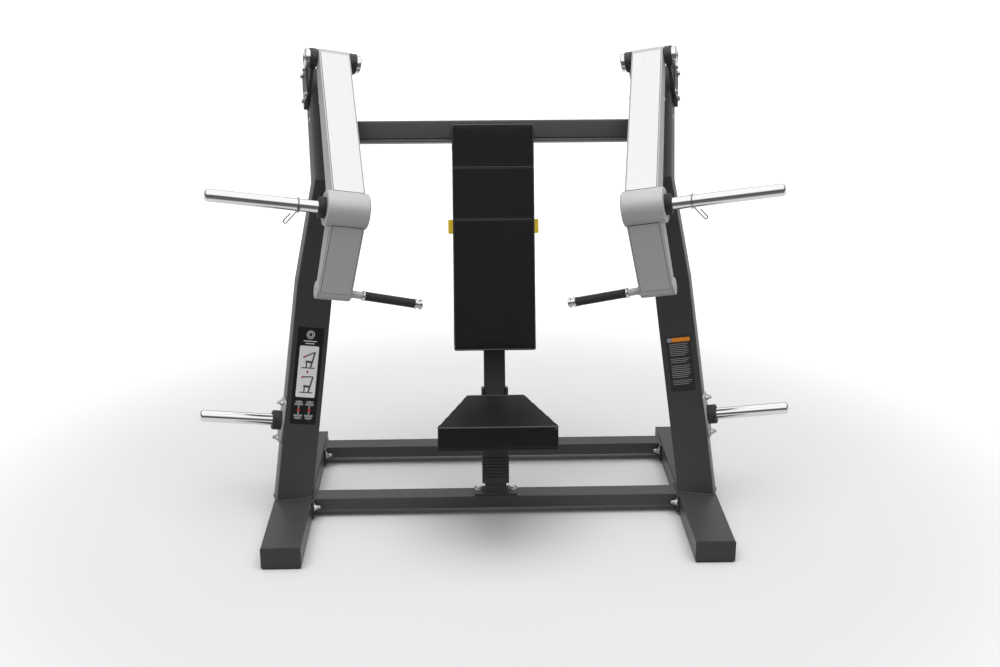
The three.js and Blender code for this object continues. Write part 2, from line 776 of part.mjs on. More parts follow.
function backPadPiece() {
  const { front, bottom, height, width, thickness, corner } = backPad;
  const slab = extruded(roundedRectangle(width, height, corner), -thickness, 0)
    .rotateX(Math.PI / 2)
    .translate(0, front, bottom + height / 2);
  return named("back_pad", slab, vinyl);
}

// The plate behind the back pad, and two slotted cheeks that straddle the spine.
function backFrame() {
  const { width, inset, drop, thickness, corner } = backPlate;
  const padBack = backPad.front + backPad.thickness + gap;
  const plate = extruded(roundedRectangle(width, backPad.height - 2 * inset, corner), -thickness, 0)
    .rotateX(Math.PI / 2)
    .translate(0, padBack, backPad.bottom + backPad.height / 2 - drop);
  let body = solid(plate);
  for (const z of guidePinZ) {
    for (const s of [-1, 1]) {
      const slot = new THREE.Shape();
      const pinY = spineDepth / 2;
      const half = guidePinRadius + 0.6;
      slot.moveTo(pinY, z - half);
      slot.absarc(pinY + backTravel, z, half, -Math.PI / 2, Math.PI / 2);
      slot.absarc(pinY, z, half, Math.PI / 2, 1.5 * Math.PI);
      const length = outlineOf([
        [padBack + 1, z - cheek.height / 2],
        [spineDepth + cheek.back, z - cheek.height / 3],
        [spineDepth + cheek.back, z + cheek.height / 3],
        [padBack + 1, z + cheek.height / 2],
      ]);
      length.holes.push(slot);
      const [x0, x1] = s < 0 ? [-cheek.outer, -cheek.inner] : [cheek.inner, cheek.outer];
      body = body.add(solid(sidePlate(length, x0, x1, 0, 5)));
    }
  }
  const rodHole = rod(lever.rodRadius + 0.5, -2 * ear.x, 2 * ear.x, 24)
    .rotateY(Math.PI / 2)
    .translate(0, lever.y, leverZ);
  for (const s of [-1, 1]) {
    const x0 = s * ear.x - ear.thickness / 2;
    const plateEar = box(
      [x0, padBack + 2, leverZ - ear.halfHeight],
      [x0 + ear.thickness, lever.y + ear.behindRod, leverZ + ear.halfHeight],
    );
    body = body.add(solid(plateEar));
  }
  return named("back_frame", geometryOf(body.subtract(solid(rodHole))), powderCoat);
}

// The rod behind the back pad with a paddle at each end. Turned, it frees the back pad.
function releaseLever() {
  const { rodRadius, reach, paddleWidth, paddleHeight, paddleDepth } = lever;
  let body = solid(rod(rodRadius, -reach, reach, 24).rotateY(Math.PI / 2));
  const outline = roundedRectangle(paddleWidth, paddleHeight, 5);
  for (const s of [-1, 1]) {
    const paddle = extruded(outline, -paddleDepth / 2, paddleDepth / 2)
      .rotateX(Math.PI / 2)
      .translate(s * (reach - paddleWidth / 2), 0, 0);
    body = body.add(solid(paddle));
  }
  const mesh = named("release_lever", geometryOf(body), yellowPlastic);
  mesh.position.set(0, lever.y, leverZ);
  return mesh;
}

// ---- assembly -----------------------------------------------------------------------------------

const machine = new THREE.Group();
machine.name = "incline_press";

for (const s of [-1, 1]) {
  machine.add(baseRail(s), railCap(s, "front"), railCap(s, "rear"), footStrip(s));
  const frame = sideFrame(s);
  frame.add(upright(s, frame), pivotBracket(s, true), pivotBracket(s, false), stopBlock(s));
  frame.add(storagePlatePiece(s), storageCollar(s), storageHorn(s), swingingArm(s));
  machine.add(frame);
}
machine.add(baseCrossTube("front_cross_tube", frontCrossY), baseCrossTube("rear_cross_tube", rearCrossY));

const spine = spineFrame();
const seatPlace = seatGroup();
seatPlace.add(seatPad());
spine.add(spinePost(spine), seatCarriage(), seatPullPin(), seatBracket(spine, seatPlace));
spine.add(backPadPiece(), backFrame(), releaseLever());
machine.add(topCrossTube(spine), spine, seatPlace);

// The origin moves from the front of the rails to the middle of the footprint.
machine.position.y = -railLength / 2;

export default machine;
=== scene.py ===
import json
import math

import bmesh
import bpy
from mathutils import Matrix, Vector
from mathutils.bvhtree import BVHTree

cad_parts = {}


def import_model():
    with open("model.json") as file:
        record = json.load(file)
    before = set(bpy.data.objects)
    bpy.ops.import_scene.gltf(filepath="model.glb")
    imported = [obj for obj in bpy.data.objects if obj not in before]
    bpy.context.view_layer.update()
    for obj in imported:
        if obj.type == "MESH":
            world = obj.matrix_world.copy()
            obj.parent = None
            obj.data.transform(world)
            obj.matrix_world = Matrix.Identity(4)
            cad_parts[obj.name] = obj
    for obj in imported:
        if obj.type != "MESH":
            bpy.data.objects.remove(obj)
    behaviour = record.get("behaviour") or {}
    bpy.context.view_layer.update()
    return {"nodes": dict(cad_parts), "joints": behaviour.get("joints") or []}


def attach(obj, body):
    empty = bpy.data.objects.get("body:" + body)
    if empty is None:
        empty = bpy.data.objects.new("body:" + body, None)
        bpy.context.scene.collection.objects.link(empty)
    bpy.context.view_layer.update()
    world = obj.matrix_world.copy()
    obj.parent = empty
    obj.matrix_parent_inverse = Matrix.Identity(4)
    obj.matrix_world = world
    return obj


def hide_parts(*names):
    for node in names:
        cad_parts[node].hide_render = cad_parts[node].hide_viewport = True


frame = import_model()

MM = 0.001
SIDES = ("left", "right")
nodes = frame["nodes"]
joints = {joint["name"]: joint for joint in frame["joints"]}


# ---- frames -------------------------------------------------------------------------------------
# Every builder below works in millimetres in one of these frames, whose axes are X across, Y to the
# back and Z up, as in the CAD source.

def millimetres(place, turn=None):
    """The matrix of a frame at a point in metres, for meshes drawn in millimetres."""
    matrix = Matrix.Translation(place)
    if turn is not None:
        matrix = matrix @ turn
    return matrix @ Matrix.Scale(MM, 4)


def tilted(angle):
    """A turn about X in degrees."""
    return Matrix.Rotation(math.radians(angle), 4, "X")


def shift(x, y, z):
    return Matrix.Translation((x, y, z))


def outward(side):
    return -1 if side == "left" else 1


def side_frame(side):
    """A side frame's plane: its origin is the arm's pivot and its X is the arm's axle."""
    hinge = joints[side + "_press"]
    across = -Vector(hinge["axis"])
    back = Vector((0, 0, 1)).cross(across).normalized()
    up = across.cross(back)
    turn = Matrix((across, back, up)).transposed().to_4x4()
    return millimetres(hinge["pos_m"], turn)


ARM_LEAN = 53.8
HUB_DISTANCE = 743
HUB_FORWARD = 8.5
LOWER_LEAN = 7.3
LOWER_LENGTH = 300
HANDLE_DROOP = 3.9


def arm_frame(side):
    """Its Z runs up the arm to the pivot."""
    return side_frame(side) @ tilted(-ARM_LEAN)


def hub_frame(side):
    """On the hub's axis, with Z up the lower arm."""
    return arm_frame(side) @ shift(0, -HUB_FORWARD, -HUB_DISTANCE) @ tilted(ARM_LEAN + LOWER_LEAN)


def turned_outwards(side):
    """Sends Z to the outward direction of a side frame."""
    return Matrix.Rotation(outward(side) * math.pi / 2, 4, "Y")


def handle_frame(side):
    """Its Z runs along the grip, away from the arm."""
    droop = math.radians(90 + HANDLE_DROOP)
    return hub_frame(side) @ shift(0, 0, -LOWER_LENGTH) @ Matrix.Rotation(-outward(side) * droop, 4, "Y")


# ---- materials ----------------------------------------------------------------------------------

class Finish:
    """A material and short ways to wire its nodes."""

    def __init__(self, name, colour, roughness, metallic=0.0):
        self.material = bpy.data.materials.new(name)
        self.material.use_nodes = True
        self.tree = self.material.node_tree
        self.shader = self.tree.nodes["Principled BSDF"]
        self.shader.inputs["Base Color"].default_value = (*colour, 1)
        self.shader.inputs["Roughness"].default_value = roughness
        self.shader.inputs["Metallic"].default_value = metallic
        self.colour = None
        self.base = (*colour, 1)
        self.normal = None
        self.place = self.node("ShaderNodeTexCoord").outputs["Object"]

    def node(self, kind, **settings):
        made = self.tree.nodes.new(kind)
        for key, value in settings.items():
            setattr(made, key, value)
        return made

    def link(self, start, end):
        self.tree.links.new(start, end)

    def noise(self, scale, detail=3.0, stretch=None):
        """Smooth noise between 0 and 1, with scale features to a metre."""
        made = self.node("ShaderNodeTexNoise")
        made.inputs["Scale"].default_value = scale
        made.inputs["Detail"].default_value = detail
        place = self.place
        if stretch:
            mapping = self.node("ShaderNodeMapping")
            mapping.inputs["Scale"].default_value = stretch
            self.link(place, mapping.inputs["Vector"])
            place = mapping.outputs["Vector"]
        self.link(place, made.inputs["Vector"])
        return made.outputs["Fac"]

    def cells(self, scale):
        """Distance to the nearest cell centre, for grain."""
        made = self.node("ShaderNodeTexVoronoi")
        made.inputs["Scale"].default_value = scale
        self.link(self.place, made.inputs["Vector"])
        return made.outputs["Distance"]

    def between(self, value, low, high):
        """Value stretched so that low becomes 0 and high becomes 1."""
        made = self.node("ShaderNodeMapRange", interpolation_type="SMOOTHSTEP")
        made.inputs["From Min"].default_value = low
        made.inputs["From Max"].default_value = high
        self.link(value, made.inputs["Value"])
        return made.outputs["Result"]

    def tint(self, mask, colour, amount=1.0):
        """Where the mask is 1, the colour so far gives way to another by the amount."""
        made = self.node("ShaderNodeMix", data_type="RGBA")
        scaled = self.node("ShaderNodeMath", operation="MULTIPLY")
        scaled.inputs[1].default_value = amount
        self.link(mask, scaled.inputs[0])
        self.link(scaled.outputs[0], made.inputs["Factor"])
        if self.colour is None:
            made.inputs["A"].default_value = self.base
        else:
            self.link(self.colour, made.inputs["A"])
        made.inputs["B"].default_value = (*colour, 1)
        self.colour = made.outputs["Result"]
        self.link(self.colour, self.shader.inputs["Base Color"])
        return self

    def rough(self, mask, low, high):
        """Roughness between low, where the mask is 0, and high."""
        made = self.node("ShaderNodeMapRange")
        made.inputs["To Min"].default_value = low
        made.inputs["To Max"].default_value = high
        self.link(mask, made.inputs["Value"])
        self.link(made.outputs["Result"], self.shader.inputs["Roughness"])
        return self

    def bump(self, height, depth_mm, strength=1.0):
        """Adds relief of a given depth."""
        made = self.node("ShaderNodeBump")
        made.inputs["Distance"].default_value = depth_mm * MM
        made.inputs["Strength"].default_value = strength
        self.link(height, made.inputs["Height"])
        if self.normal is not None:
            self.link(self.normal, made.inputs["Normal"])
        self.normal = made.outputs["Normal"]
        self.link(self.normal, self.shader.inputs["Normal"])
        return self

    def edges(self, radius_mm):
        """A mask that is 1 along sharp edges."""
        bevel = self.node("ShaderNodeBevel", samples=4)
        bevel.inputs["Radius"].default_value = radius_mm * MM
        surface = self.node("ShaderNodeNewGeometry")
        dot = self.node("ShaderNodeVectorMath", operation="DOT_PRODUCT")
        self.link(bevel.outputs["Normal"], dot.inputs[0])
        self.link(surface.outputs["Normal"], dot.inputs[1])
        return self.between(dot.outputs["Value"], 0.995, 0.86)


def powder_coat():
    made = Finish("charcoal_powder_coat", (0.027, 0.0275, 0.028), 0.38)
    made.shader.inputs["Specular IOR Level"].default_value = 0.55
    made.tint(made.noise(9), (0.033, 0.0335, 0.034), 0.6)
    # Painted highlight: sharp edges are tinted lighter, standing in for the light they catch.
    made.tint(made.edges(1.6), (0.12, 0.12, 0.12), 0.35)
    made.tint(made.between(made.noise(420, 1), 0.45, 0.62), (0.056, 0.0565, 0.057), 0.45)
    made.rough(made.noise(60), 0.36, 0.46)
    made.bump(made.noise(1400, 1), 0.05, 0.5)
    return made.material


def silver_paint():
    made = Finish("silver_metallic_paint", (0.40, 0.405, 0.41), 0.5, 0.22)
    made.tint(made.between(made.noise(380, 1), 0.42, 0.62), (0.54, 0.545, 0.55), 0.5)
    made.tint(made.noise(5), (0.36, 0.365, 0.37), 0.3)
    made.rough(made.noise(500, 2), 0.42, 0.54)
    made.bump(made.noise(1600, 2), 0.03, 0.4)
    return made.material


def chrome():
    made = Finish("polished_chrome", (0.72, 0.725, 0.73), 0.08, 1.0)
    made.tint(made.noise(30), (0.66, 0.665, 0.67), 0.5)
    made.rough(made.noise(220, 4, (1, 6, 6)), 0.05, 0.11)
    return made.material


def bolt_steel():
    made = Finish("zinc_bolt_steel", (0.62, 0.625, 0.63), 0.24, 1.0)
    made.rough(made.noise(400), 0.18, 0.34)
    return made.material


def rubber():
    made = Finish("black_rubber", (0.013, 0.013, 0.013), 0.62)
    made.tint(made.noise(40), (0.022, 0.022, 0.022), 0.6)
    made.rough(made.noise(300), 0.55, 0.75)
    made.bump(made.cells(700), 0.12, 0.5)
    return made.material


def plastic():
    made = Finish("black_moulded_plastic", (0.02, 0.02, 0.021), 0.45)
    made.tint(made.noise(25), (0.028, 0.028, 0.029), 0.5)
    made.bump(made.noise(1100, 2), 0.05, 0.5)
    return made.material


def vinyl():
    made = Finish("black_vinyl_upholstery", (0.0055, 0.0055, 0.0057), 0.46)
    made.shader.inputs["Specular IOR Level"].default_value = 0.22
    made.tint(made.noise(14), (0.0085, 0.0085, 0.0088), 0.6)
    grain = made.cells(520)
    made.rough(grain, 0.40, 0.54)
    made.bump(grain, 0.14, 0.5)
    made.bump(made.noise(60), 0.15, 0.25)
    return made.material


def yellow_plastic():
    made = Finish("yellow_lever_plastic", (0.92, 0.66, 0.04), 0.38)
    made.tint(made.noise(90), (0.78, 0.55, 0.04), 0.5)
    made.bump(made.noise(1200, 2), 0.04, 0.5)
    return made.material


finishes = {
    "powder_coat": powder_coat(),
    "silver_paint": silver_paint(),
    "chrome": chrome(),
    "black_rubber": rubber(),
    "black_plastic": plastic(),
    "black_vinyl": vinyl(),
    "yellow_plastic": yellow_plastic(),
    "zinc_steel": bolt_steel(),
}


# ---- shapes -------------------------------------------------------------------------------------

class Shape:
    """Collects closed forms, drawn in millimetres, that become one piece."""

    def __init__(self):
        self.mesh = bmesh.new()

    def take(self, form, matrix, edge=0.0, edge_steps=2):
        """Adds a small mesh at a place, with its sharp edges rounded."""
        if edge:
            corner = math.radians(30)
            sharp = [e for e in form.edges if len(e.link_faces) == 2 and e.calc_face_angle() > corner]
            bmesh.ops.bevel(form, geom=sharp, offset=edge, segments=edge_steps, affect="EDGES", profile=0.5)
        form.transform(matrix)
        bmesh.ops.recalc_face_normals(form, faces=form.faces)
        copied = bpy.data.meshes.new("part")
        form.to_mesh(copied)
        form.free()
        self.mesh.from_mesh(copied)
        bpy.data.meshes.remove(copied)
        return self

    def turned(self, profile, matrix=Matrix(), segments=64, edge=0.0):
        """A solid of revolution about Z. A profile that ends where it starts makes a ring."""
        form = bmesh.new()
        ring_shaped = profile[0] == profile[-1]
        points = profile[:-1] if ring_shaped else profile
        rings = []
        for radius, z in points:
            if radius == 0:
                rings.append([form.verts.new((0, 0, z))])
                continue
            angles = [2 * math.pi * i / segments for i in range(segments)]
            rings.append([form.verts.new((radius * math.cos(a), radius * math.sin(a), z)) for a in angles])
        pairs = list(zip(rings, rings[1:]))
        if ring_shaped:
            pairs.append((rings[-1], rings[0]))
        for low, high in pairs:
            for i in range(segments):
                j = (i + 1) % segments
                corners = [low[i % len(low)], low[j % len(low)], high[j % len(high)], high[i % len(high)]]
                form.faces.new(list(dict.fromkeys(corners)))
        return self.take(form, matrix, edge)

    def prism(self, outline, z0, z1, matrix=Matrix(), edge=0.0, edge_steps=2):
        """A plate along Z with the given outline."""
        form = bmesh.new()
        low = [form.verts.new((x, y, z0)) for x, y in outline]
        high = [form.verts.new((x, y, z1)) for x, y in outline]
        form.faces.new(list(reversed(low)))
        form.faces.new(high)
        for i in range(len(outline)):
            j = (i + 1) % len(outline)
            form.faces.new((low[i], low[j], high[j], high[i]))
        return self.take(form, matrix, edge, edge_steps)

    def wire(self, points, radius, matrix=Matrix(), segments=10, closed=False):
        """A round wire along points, with flat ends."""
        form = bmesh.new()
        points = [Vector(p) for p in points]
        count = len(points)
        side = None
        rings = []
        for i, point in enumerate(points):
            before = points[i - 1] if closed or i else point
            after = points[(i + 1) % count] if closed or i < count - 1 else point
            run = (after - before).normalized()
            if side is None:
                side = run.orthogonal().normalized()
            side = (side - run * side.dot(run)).normalized()
            other = run.cross(side)
            angles = [2 * math.pi * k / segments for k in range(segments)]
            rings.append([
                form.verts.new(point + radius * (math.cos(a) * side + math.sin(a) * other)) for a in angles
            ])
        pairs = list(zip(rings, rings[1:]))
        if closed:
            pairs.append((rings[-1], rings[0]))
        for low, high in pairs:
            for i in range(segments):
                j = (i + 1) % segments
                form.faces.new((low[i], low[j], high[j], high[i]))
        if not closed:
            form.faces.new(list(reversed(rings[0])))
            form.faces.new(rings[-1])
        return self.take(form, matrix)

    def piece(self, name, slot_name, body, replaces=(), smooth=38, finish=None):
        """Ends the collecting: one object that rides on a body."""
        mesh = bpy.data.meshes.new(name)
        self.mesh.to_mesh(mesh)
        self.mesh.free()
        return settled(mesh, name, slot_name, body, replaces, smooth, finish)


def settled(mesh, name, slot_name, body, replaces=(), smooth=38, finish=None):
    """Makes a mesh in the row frame a named, finished piece that rides on a body."""
    mesh.shade_smooth()
    mesh.set_sharp_from_angle(angle=math.radians(smooth))
    mesh.materials.clear()
    mesh.materials.append(finish or finishes[slot_name])
    made = bpy.data.objects.new(name, mesh)
    bpy.context.scene.collection.objects.link(made)
    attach(made, body)
    if replaces:
        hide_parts(*replaces)
    return made


def rounded_rectangle(width, height, corner, steps=6):
    """Its outline, anticlockwise from the lower right corner."""
    outline = []
    for quarter, (sx, sy) in enumerate(((1, 1), (-1, 1), (-1, -1), (1, -1))):
        for i in range(steps + 1):
            angle = math.radians(90) * (quarter + i / steps)
            outline.append((
                sx * (width / 2 - corner) + corner * math.cos(angle),
                sy * (height / 2 - corner) + corner * math.sin(angle),
            ))
    return outline


def arc(radius, z, wide, start, end, steps=5, tall=None):
    """Points of a profile on an arc about (radius, z), from one angle in degrees to another."""
    tall = tall or wide
    angles = [math.radians(start + (end - start) * i / steps) for i in range(steps + 1)]
    return [(radius + wide * math.cos(a), z + tall * math.sin(a)) for a in angles]


def bolt(shape, matrix, radius, washer=True):
    """A hexagon head with a washer under it, standing on the plane Z = 0."""
    base = 0.0
    if washer:
        base = 0.22 * radius
        shape.turned([(0, 0), (1.45 * radius, 0), (1.45 * radius, base), (0, base)], matrix, 32, 0.3)
    top = base + 0.75 * radius
    head = [(0, base), (radius, base), (radius, top - 0.12 * radius), (0.84 * radius, top), (0, top)]
    shape.turned(head, matrix, 6, 0.25)
    return shape


def nut_and_stud(shape, matrix, radius):
    """A nut on a washer with the end of its stud standing out of it."""
    bolt(shape, matrix, radius)
    low, high = 0.97 * radius, 2.0 * radius
    thread, tip = 0.58 * radius, 0.45 * radius
    stud = [(0, low), (thread, low), (thread, high - 0.15 * radius), (tip, high), (0, high)]
    return shape.turned(stud, matrix, 24)


def facing(direction, place):
    """A frame at a place whose Z points along a direction, both in the frame that it is used in."""
    return Matrix.Translation(place) @ Vector(direction).to_track_quat("Z", "Y").to_matrix().to_4x4()


# ---- swinging arms ------------------------------------------------------------------------------

HORN_RADIUS = 21.5
HUB_OUTWARD = 81
HUB_INWARD = 67
HUB_RADIUS = 62
COLLAR_RADIUS = 37
COLLAR_THICKNESS = 22
HORN_LENGTH = 380
ARM_WIDTH = 118
ARM_FRONT = 43
CLIP_TURNS = 1.25
CLIP_DISTANCE = 175
LOWER_FRONT_AT_HUB = 46
LOWER_END_RADIUS = 31
HOUSING_FAR = 88
AXLE_RADIUS = 15
AXLE_CAP_RADIUS = 33
AXLE_CAP_THICKNESS = 17
GAP = 0.3


def horn_profile(start, length):
    """A round bar with a domed tip."""
    dome = 13
    rim = 15
    tip = start + length
    domed = arc(HORN_RADIUS - rim, tip - dome, rim, 0, 90, 12, dome)
    return [(0, start), (HORN_RADIUS, start), *domed, (0, tip)]


def weight_horn(side):
    """The horn on the arm's hub and the rubber bumper at its root."""
    place = hub_frame(side) @ turned_outwards(side)
    start = HUB_OUTWARD + GAP
    horn = Shape().turned(horn_profile(start, COLLAR_THICKNESS + HORN_LENGTH), place)
    horn.piece(side + "_weight_horn_turned", "chrome", side + "_arm", (side + "_weight_horn",))
    body, node = side + "_arm", side + "_hub_collar"
    bumper(side + "_hub_bumper", place, start, COLLAR_THICKNESS, COLLAR_RADIUS, body, node)


def bumper(name, place, start, thickness, radius, body, node):
    """A rubber ring with a rounded rim and a moulded groove in its face."""
    end = start + thickness
    hole = HORN_RADIUS + GAP
    rim = min(5, thickness / 3)
    profile = [(hole, start), (radius, start), *arc(radius - rim, end - rim, rim, 0, 90)]
    profile += [(radius - rim - 2, end), (radius - rim - 2.6, end - 0.8), (radius - rim - 4.4, end - 0.8)]
    profile += [(radius - rim - 5, end), (hole, end), (hole, start)]
    Shape().turned(profile, place).piece(name, "black_rubber", body, (node,))


def hub(side):
    """The round hub: a tube with rounded rims and an end plug on its inner side."""
    edge = 7
    profile = [(0, -HUB_INWARD + 1.2), (HUB_RADIUS - 15, -HUB_INWARD + 1.2), (HUB_RADIUS - 16, -HUB_INWARD)]
    profile += arc(HUB_RADIUS - edge, -HUB_INWARD + edge, edge, -90, 0)
    profile += arc(HUB_RADIUS - edge, HUB_OUTWARD - edge, edge, 0, 90)
    profile += [(HUB_RADIUS - 16, HUB_OUTWARD), (HUB_RADIUS - 17, HUB_OUTWARD - 1.2), (0, HUB_OUTWARD - 1.2)]
    shape = Shape().turned(profile, hub_frame(side) @ turned_outwards(side), 96)
    shape.piece(side + "_hub_turned", "silver_paint", side + "_arm", (side + "_arm_hub",))


def spring_clip(side):
    """A steel wire clip: a turn and a quarter round the horn, and a hairpin to squeeze, down and outwards."""
    place = hub_frame(side) @ turned_outwards(side)
    wire = 2.2
    loop = HORN_RADIUS + wire + 0.4
    pitch = 5.4
    # In the horn's frame Z points outwards along it. The hairpin starts below the horn.
    down = place.inverted().to_3x3() @ Vector((0, 0, -1))
    down = Vector((down.x, down.y, 0)).normalized()
    beside = Vector((-down.y, down.x, 0))
    out = Vector((0, 0, 1))
    steps = 48
    points = []
    for i in range(steps + 1):
        turn = CLIP_TURNS * i / steps
        angle = 2 * math.pi * turn
        points.append(loop * (math.cos(angle) * down + math.sin(angle) * beside) - out * turn * pitch)
    lean = math.radians(35)
    run = (math.cos(lean) * down + math.sin(lean) * out).normalized()
    across = (math.cos(lean) * out - math.sin(lean) * down).normalized()
    start = points[0] + wire * 1.2 * beside
    far = 54
    gap = 12
    hairpin = [start + run * t for t in (far - 4, far * 0.66, far * 0.33, 3)]
    corner = [start + run * (far - 1.2) + across * 1.2, start + run * far + across * 4]
    end = [start + run * far + across * (gap - 4), start + run * (far - 1.2) + across * (gap - 1.2)]
    back = [start + run * t + across * gap for t in (far - 4, far * 0.75, far * 0.5, far * 0.3)]
    path = list(reversed(back)) + list(reversed(end)) + list(reversed(corner)) + hairpin + points
    offset = [p + out * CLIP_DISTANCE for p in path]
    clip = Shape().wire(offset, wire, place, 12)
    clip.piece(side + "_clip_wire", "zinc_steel", side + "_clip", (side + "_spring_clip",), 80, spring_steel)


def arm_faces(side):
    """A bright panel on the upper arm's front and a painted one on the lower arm's; black cords round each
    panel and along the lower arm's sides are painted shade in the gaps.
    """
    front = Matrix.Rotation(math.radians(90), 4, "X")
    slant = math.degrees(math.atan2(LOWER_FRONT_AT_HUB - LOWER_END_RADIUS, LOWER_LENGTH))
    upper = arm_frame(side) @ shift(0, -ARM_FRONT, 0) @ front
    lower = hub_frame(side) @ shift(0, -LOWER_END_RADIUS, -LOWER_LENGTH) @ tilted(slant) @ front
    shade_cords = Shape()
    for name, place, high, low, finish in (
        ("_arm_panel", upper, -6, -689, panel_paint),
        ("_lower_arm_panel", lower, LOWER_LENGTH - 46, 4, None),
    ):
        middle = place @ shift(0, (high + low) / 2, 0)
        outline = rounded_rectangle(ARM_WIDTH - 13, high - low, 3)
        Shape().prism(outline, -0.5, 1.3, middle, 0.4).piece(
            side + name, "silver_paint", side + "_arm", finish=finish
        )
        # Painted shade: a black cord lies in the gap round each panel.
        rim = rounded_rectangle(ARM_WIDTH - 11.6, high - low + 1.4, 3.7)
        shade_cords.wire([(x, y, 0.1) for x, y in rim], 0.8, middle, 6, closed=True)
    # Painted shade: black cords along the lower arm's sides.
    for x in (-ARM_WIDTH / 2, ARM_WIDTH / 2):
        shade_cords.wire([(x, -31, -66), (x, -26, 30 - LOWER_LENGTH)], 0.9, hub_frame(side), 6)
    shade_cords.piece(side + "_arm_panel_shade_cords", "black_rubber", side + "_arm")


def axle_caps(side):
    """The chrome axle heads outside both cheeks, each with a small centre hole."""
    for name, node, way in (("head", "pivot_axle", 1), ("cap", "pivot_end_cap", -1)):
        place = side_frame(side) @ Matrix.Rotation(way * outward(side) * math.pi / 2, 4, "Y")
        start = HOUSING_FAR + GAP
        end = start + AXLE_CAP_THICKNESS
        profile = [(0, start), (AXLE_CAP_RADIUS, start), *arc(AXLE_CAP_RADIUS - 5, end - 5, 5, 0, 90)]
        profile += [(AXLE_CAP_RADIUS - 10, end), (AXLE_CAP_RADIUS - 11, end - 1), (8, end - 1)]
        profile += [(5, end - 3), (5, end - 9), (0, end - 9)]
        shape = Shape().turned(profile, place)
        if name == "head":
            near, far = -HOUSING_FAR, start - 0.1
            shape.turned([(0, near), (AXLE_RADIUS, near), (AXLE_RADIUS, far), (0, far)], place, 48)
        shape.piece(side + "_axle_" + name, "chrome", side + "_arm", (side + "_" + node,))


def boss_cap(side):
    """The disc over the outer end of the handle's boss."""
    start = ARM_WIDTH / 2 + GAP
    radius = LOWER_END_RADIUS
    profile = [(0, start), (radius, start), (radius, start + 3), (radius - 1, start + 5)]
    profile += [(radius - 3, start + 6), (5, start + 6), (3.5, start + 4.5), (0, start + 4.5)]
    disc = Shape().turned(profile, hub_frame(side) @ shift(0, 0, -LOWER_LENGTH) @ turned_outwards(side))
    disc.piece(side + "_boss_disc", "silver_paint", side + "_arm", (side + "_boss_cap",))


def handle(side):
    """Painted stub, chrome ring, rubber grip with moulded bands, and a two-part chrome end."""
    body = side + "_arm"
    place = handle_frame(side)
    start = ARM_WIDTH / 2 + 3
    ring = start + 40
    grip = ring + 11
    grip_end = grip + 182
    end = grip_end + 28
    bar_radius = 12
    stub_end = ring - GAP
    stub = [(0, start - 1), (16, start - 1), (16, start + 4), (13, start + 7), (13, stub_end), (0, stub_end)]
    core_start = stub_end + 0.05
    core_end = grip_end + 0.2
    core = [(0, core_start), (bar_radius, core_start), (bar_radius, core_end), (0, core_end)]
    bar = Shape().turned(stub, place, 48).turned(core, place, 48)
    bar.piece(side + "_handle_stub", "silver_paint", body, (side + "_handle_bar",))
    hole = bar_radius + GAP
    ball = [(hole, ring), *arc(13.5, ring + 5.4, 5.0, -90, 90, 12, 5.4), (hole, ring + 10.8), (hole, ring)]
    Shape().turned(ball, place).piece(side + "_handle_ball_ring", "chrome", body, (side + "_handle_ring",))
    sleeve = [(hole, grip), (15, grip), (16.4, grip + 1.5), (16.4, grip + 8), (16, grip + 9)]
    bands = 26
    first, last = grip + 12, grip_end - 12
    step = (last - first) / bands
    for i in range(bands):
        z = first + (last - first) * i / bands
        sleeve += [(16, z), (15.55, z + 0.18 * step), (15.55, z + 0.34 * step), (16, z + 0.5 * step)]
    sleeve += [(16, grip_end - 9), (16.4, grip_end - 8), (16.4, grip_end - 1.5)]
    sleeve += [(15, grip_end), (hole, grip_end), (hole, grip)]
    rubber_sleeve = Shape().turned(sleeve, place, 48)
    rubber_sleeve.piece(side + "_handle_grip_sleeve", "black_rubber", body, (side + "_handle_grip",))
    cap = [(0, grip_end + 0.3), (16.5, grip_end + 0.3), (18, grip_end + 1.8), (18, grip_end + 7.5)]
    cap += [(16.5, grip_end + 9), (13.5, grip_end + 9.5), (13.5, end - 11), (16.5, end - 10.5), (18, end - 9)]
    cap += [(18, end - 2), (16.5, end - 0.3), (14, end), (13, end - 0.8), (0, end - 0.8)]
    Shape().turned(cap, place).piece(side + "_handle_end", "chrome", body, (side + "_handle_end_cap",))


def storage_point(side, clear):
    """The middle of the upright's outer face at the storage horn's height, moved clear of the face."""
    climb = (STORAGE_LEVEL - FOOT_POINT.z) / (LOWER_KINK.z - FOOT_POINT.z)
    y = FOOT_POINT.y + climb * (LOWER_KINK.y - FOOT_POINT.y)
    return Vector((outward(side) * (UPRIGHT_WIDTH / 2 + clear), y, STORAGE_LEVEL))


def storage_horn(side):
    """The horn low on the upright's outer face and the rubber bumper at its root."""
    place = side_frame(side) @ Matrix.Translation(storage_point(side, GAP)) @ turned_outwards(side)
    start = STORAGE_PLATE_THICKNESS + GAP
    collar_length, collar_radius, reach = 32, 36, 265
    horn = Shape().turned(horn_profile(start, collar_length + reach), place)
    horn.piece(side + "_storage_horn_turned", "chrome", "frame", (side + "_storage_horn",))
    node = side + "_storage_collar"
    bumper(side + "_storage_bumper", place, start, collar_length, collar_radius, "frame", node)


# ---- frame details ------------------------------------------------------------------------------

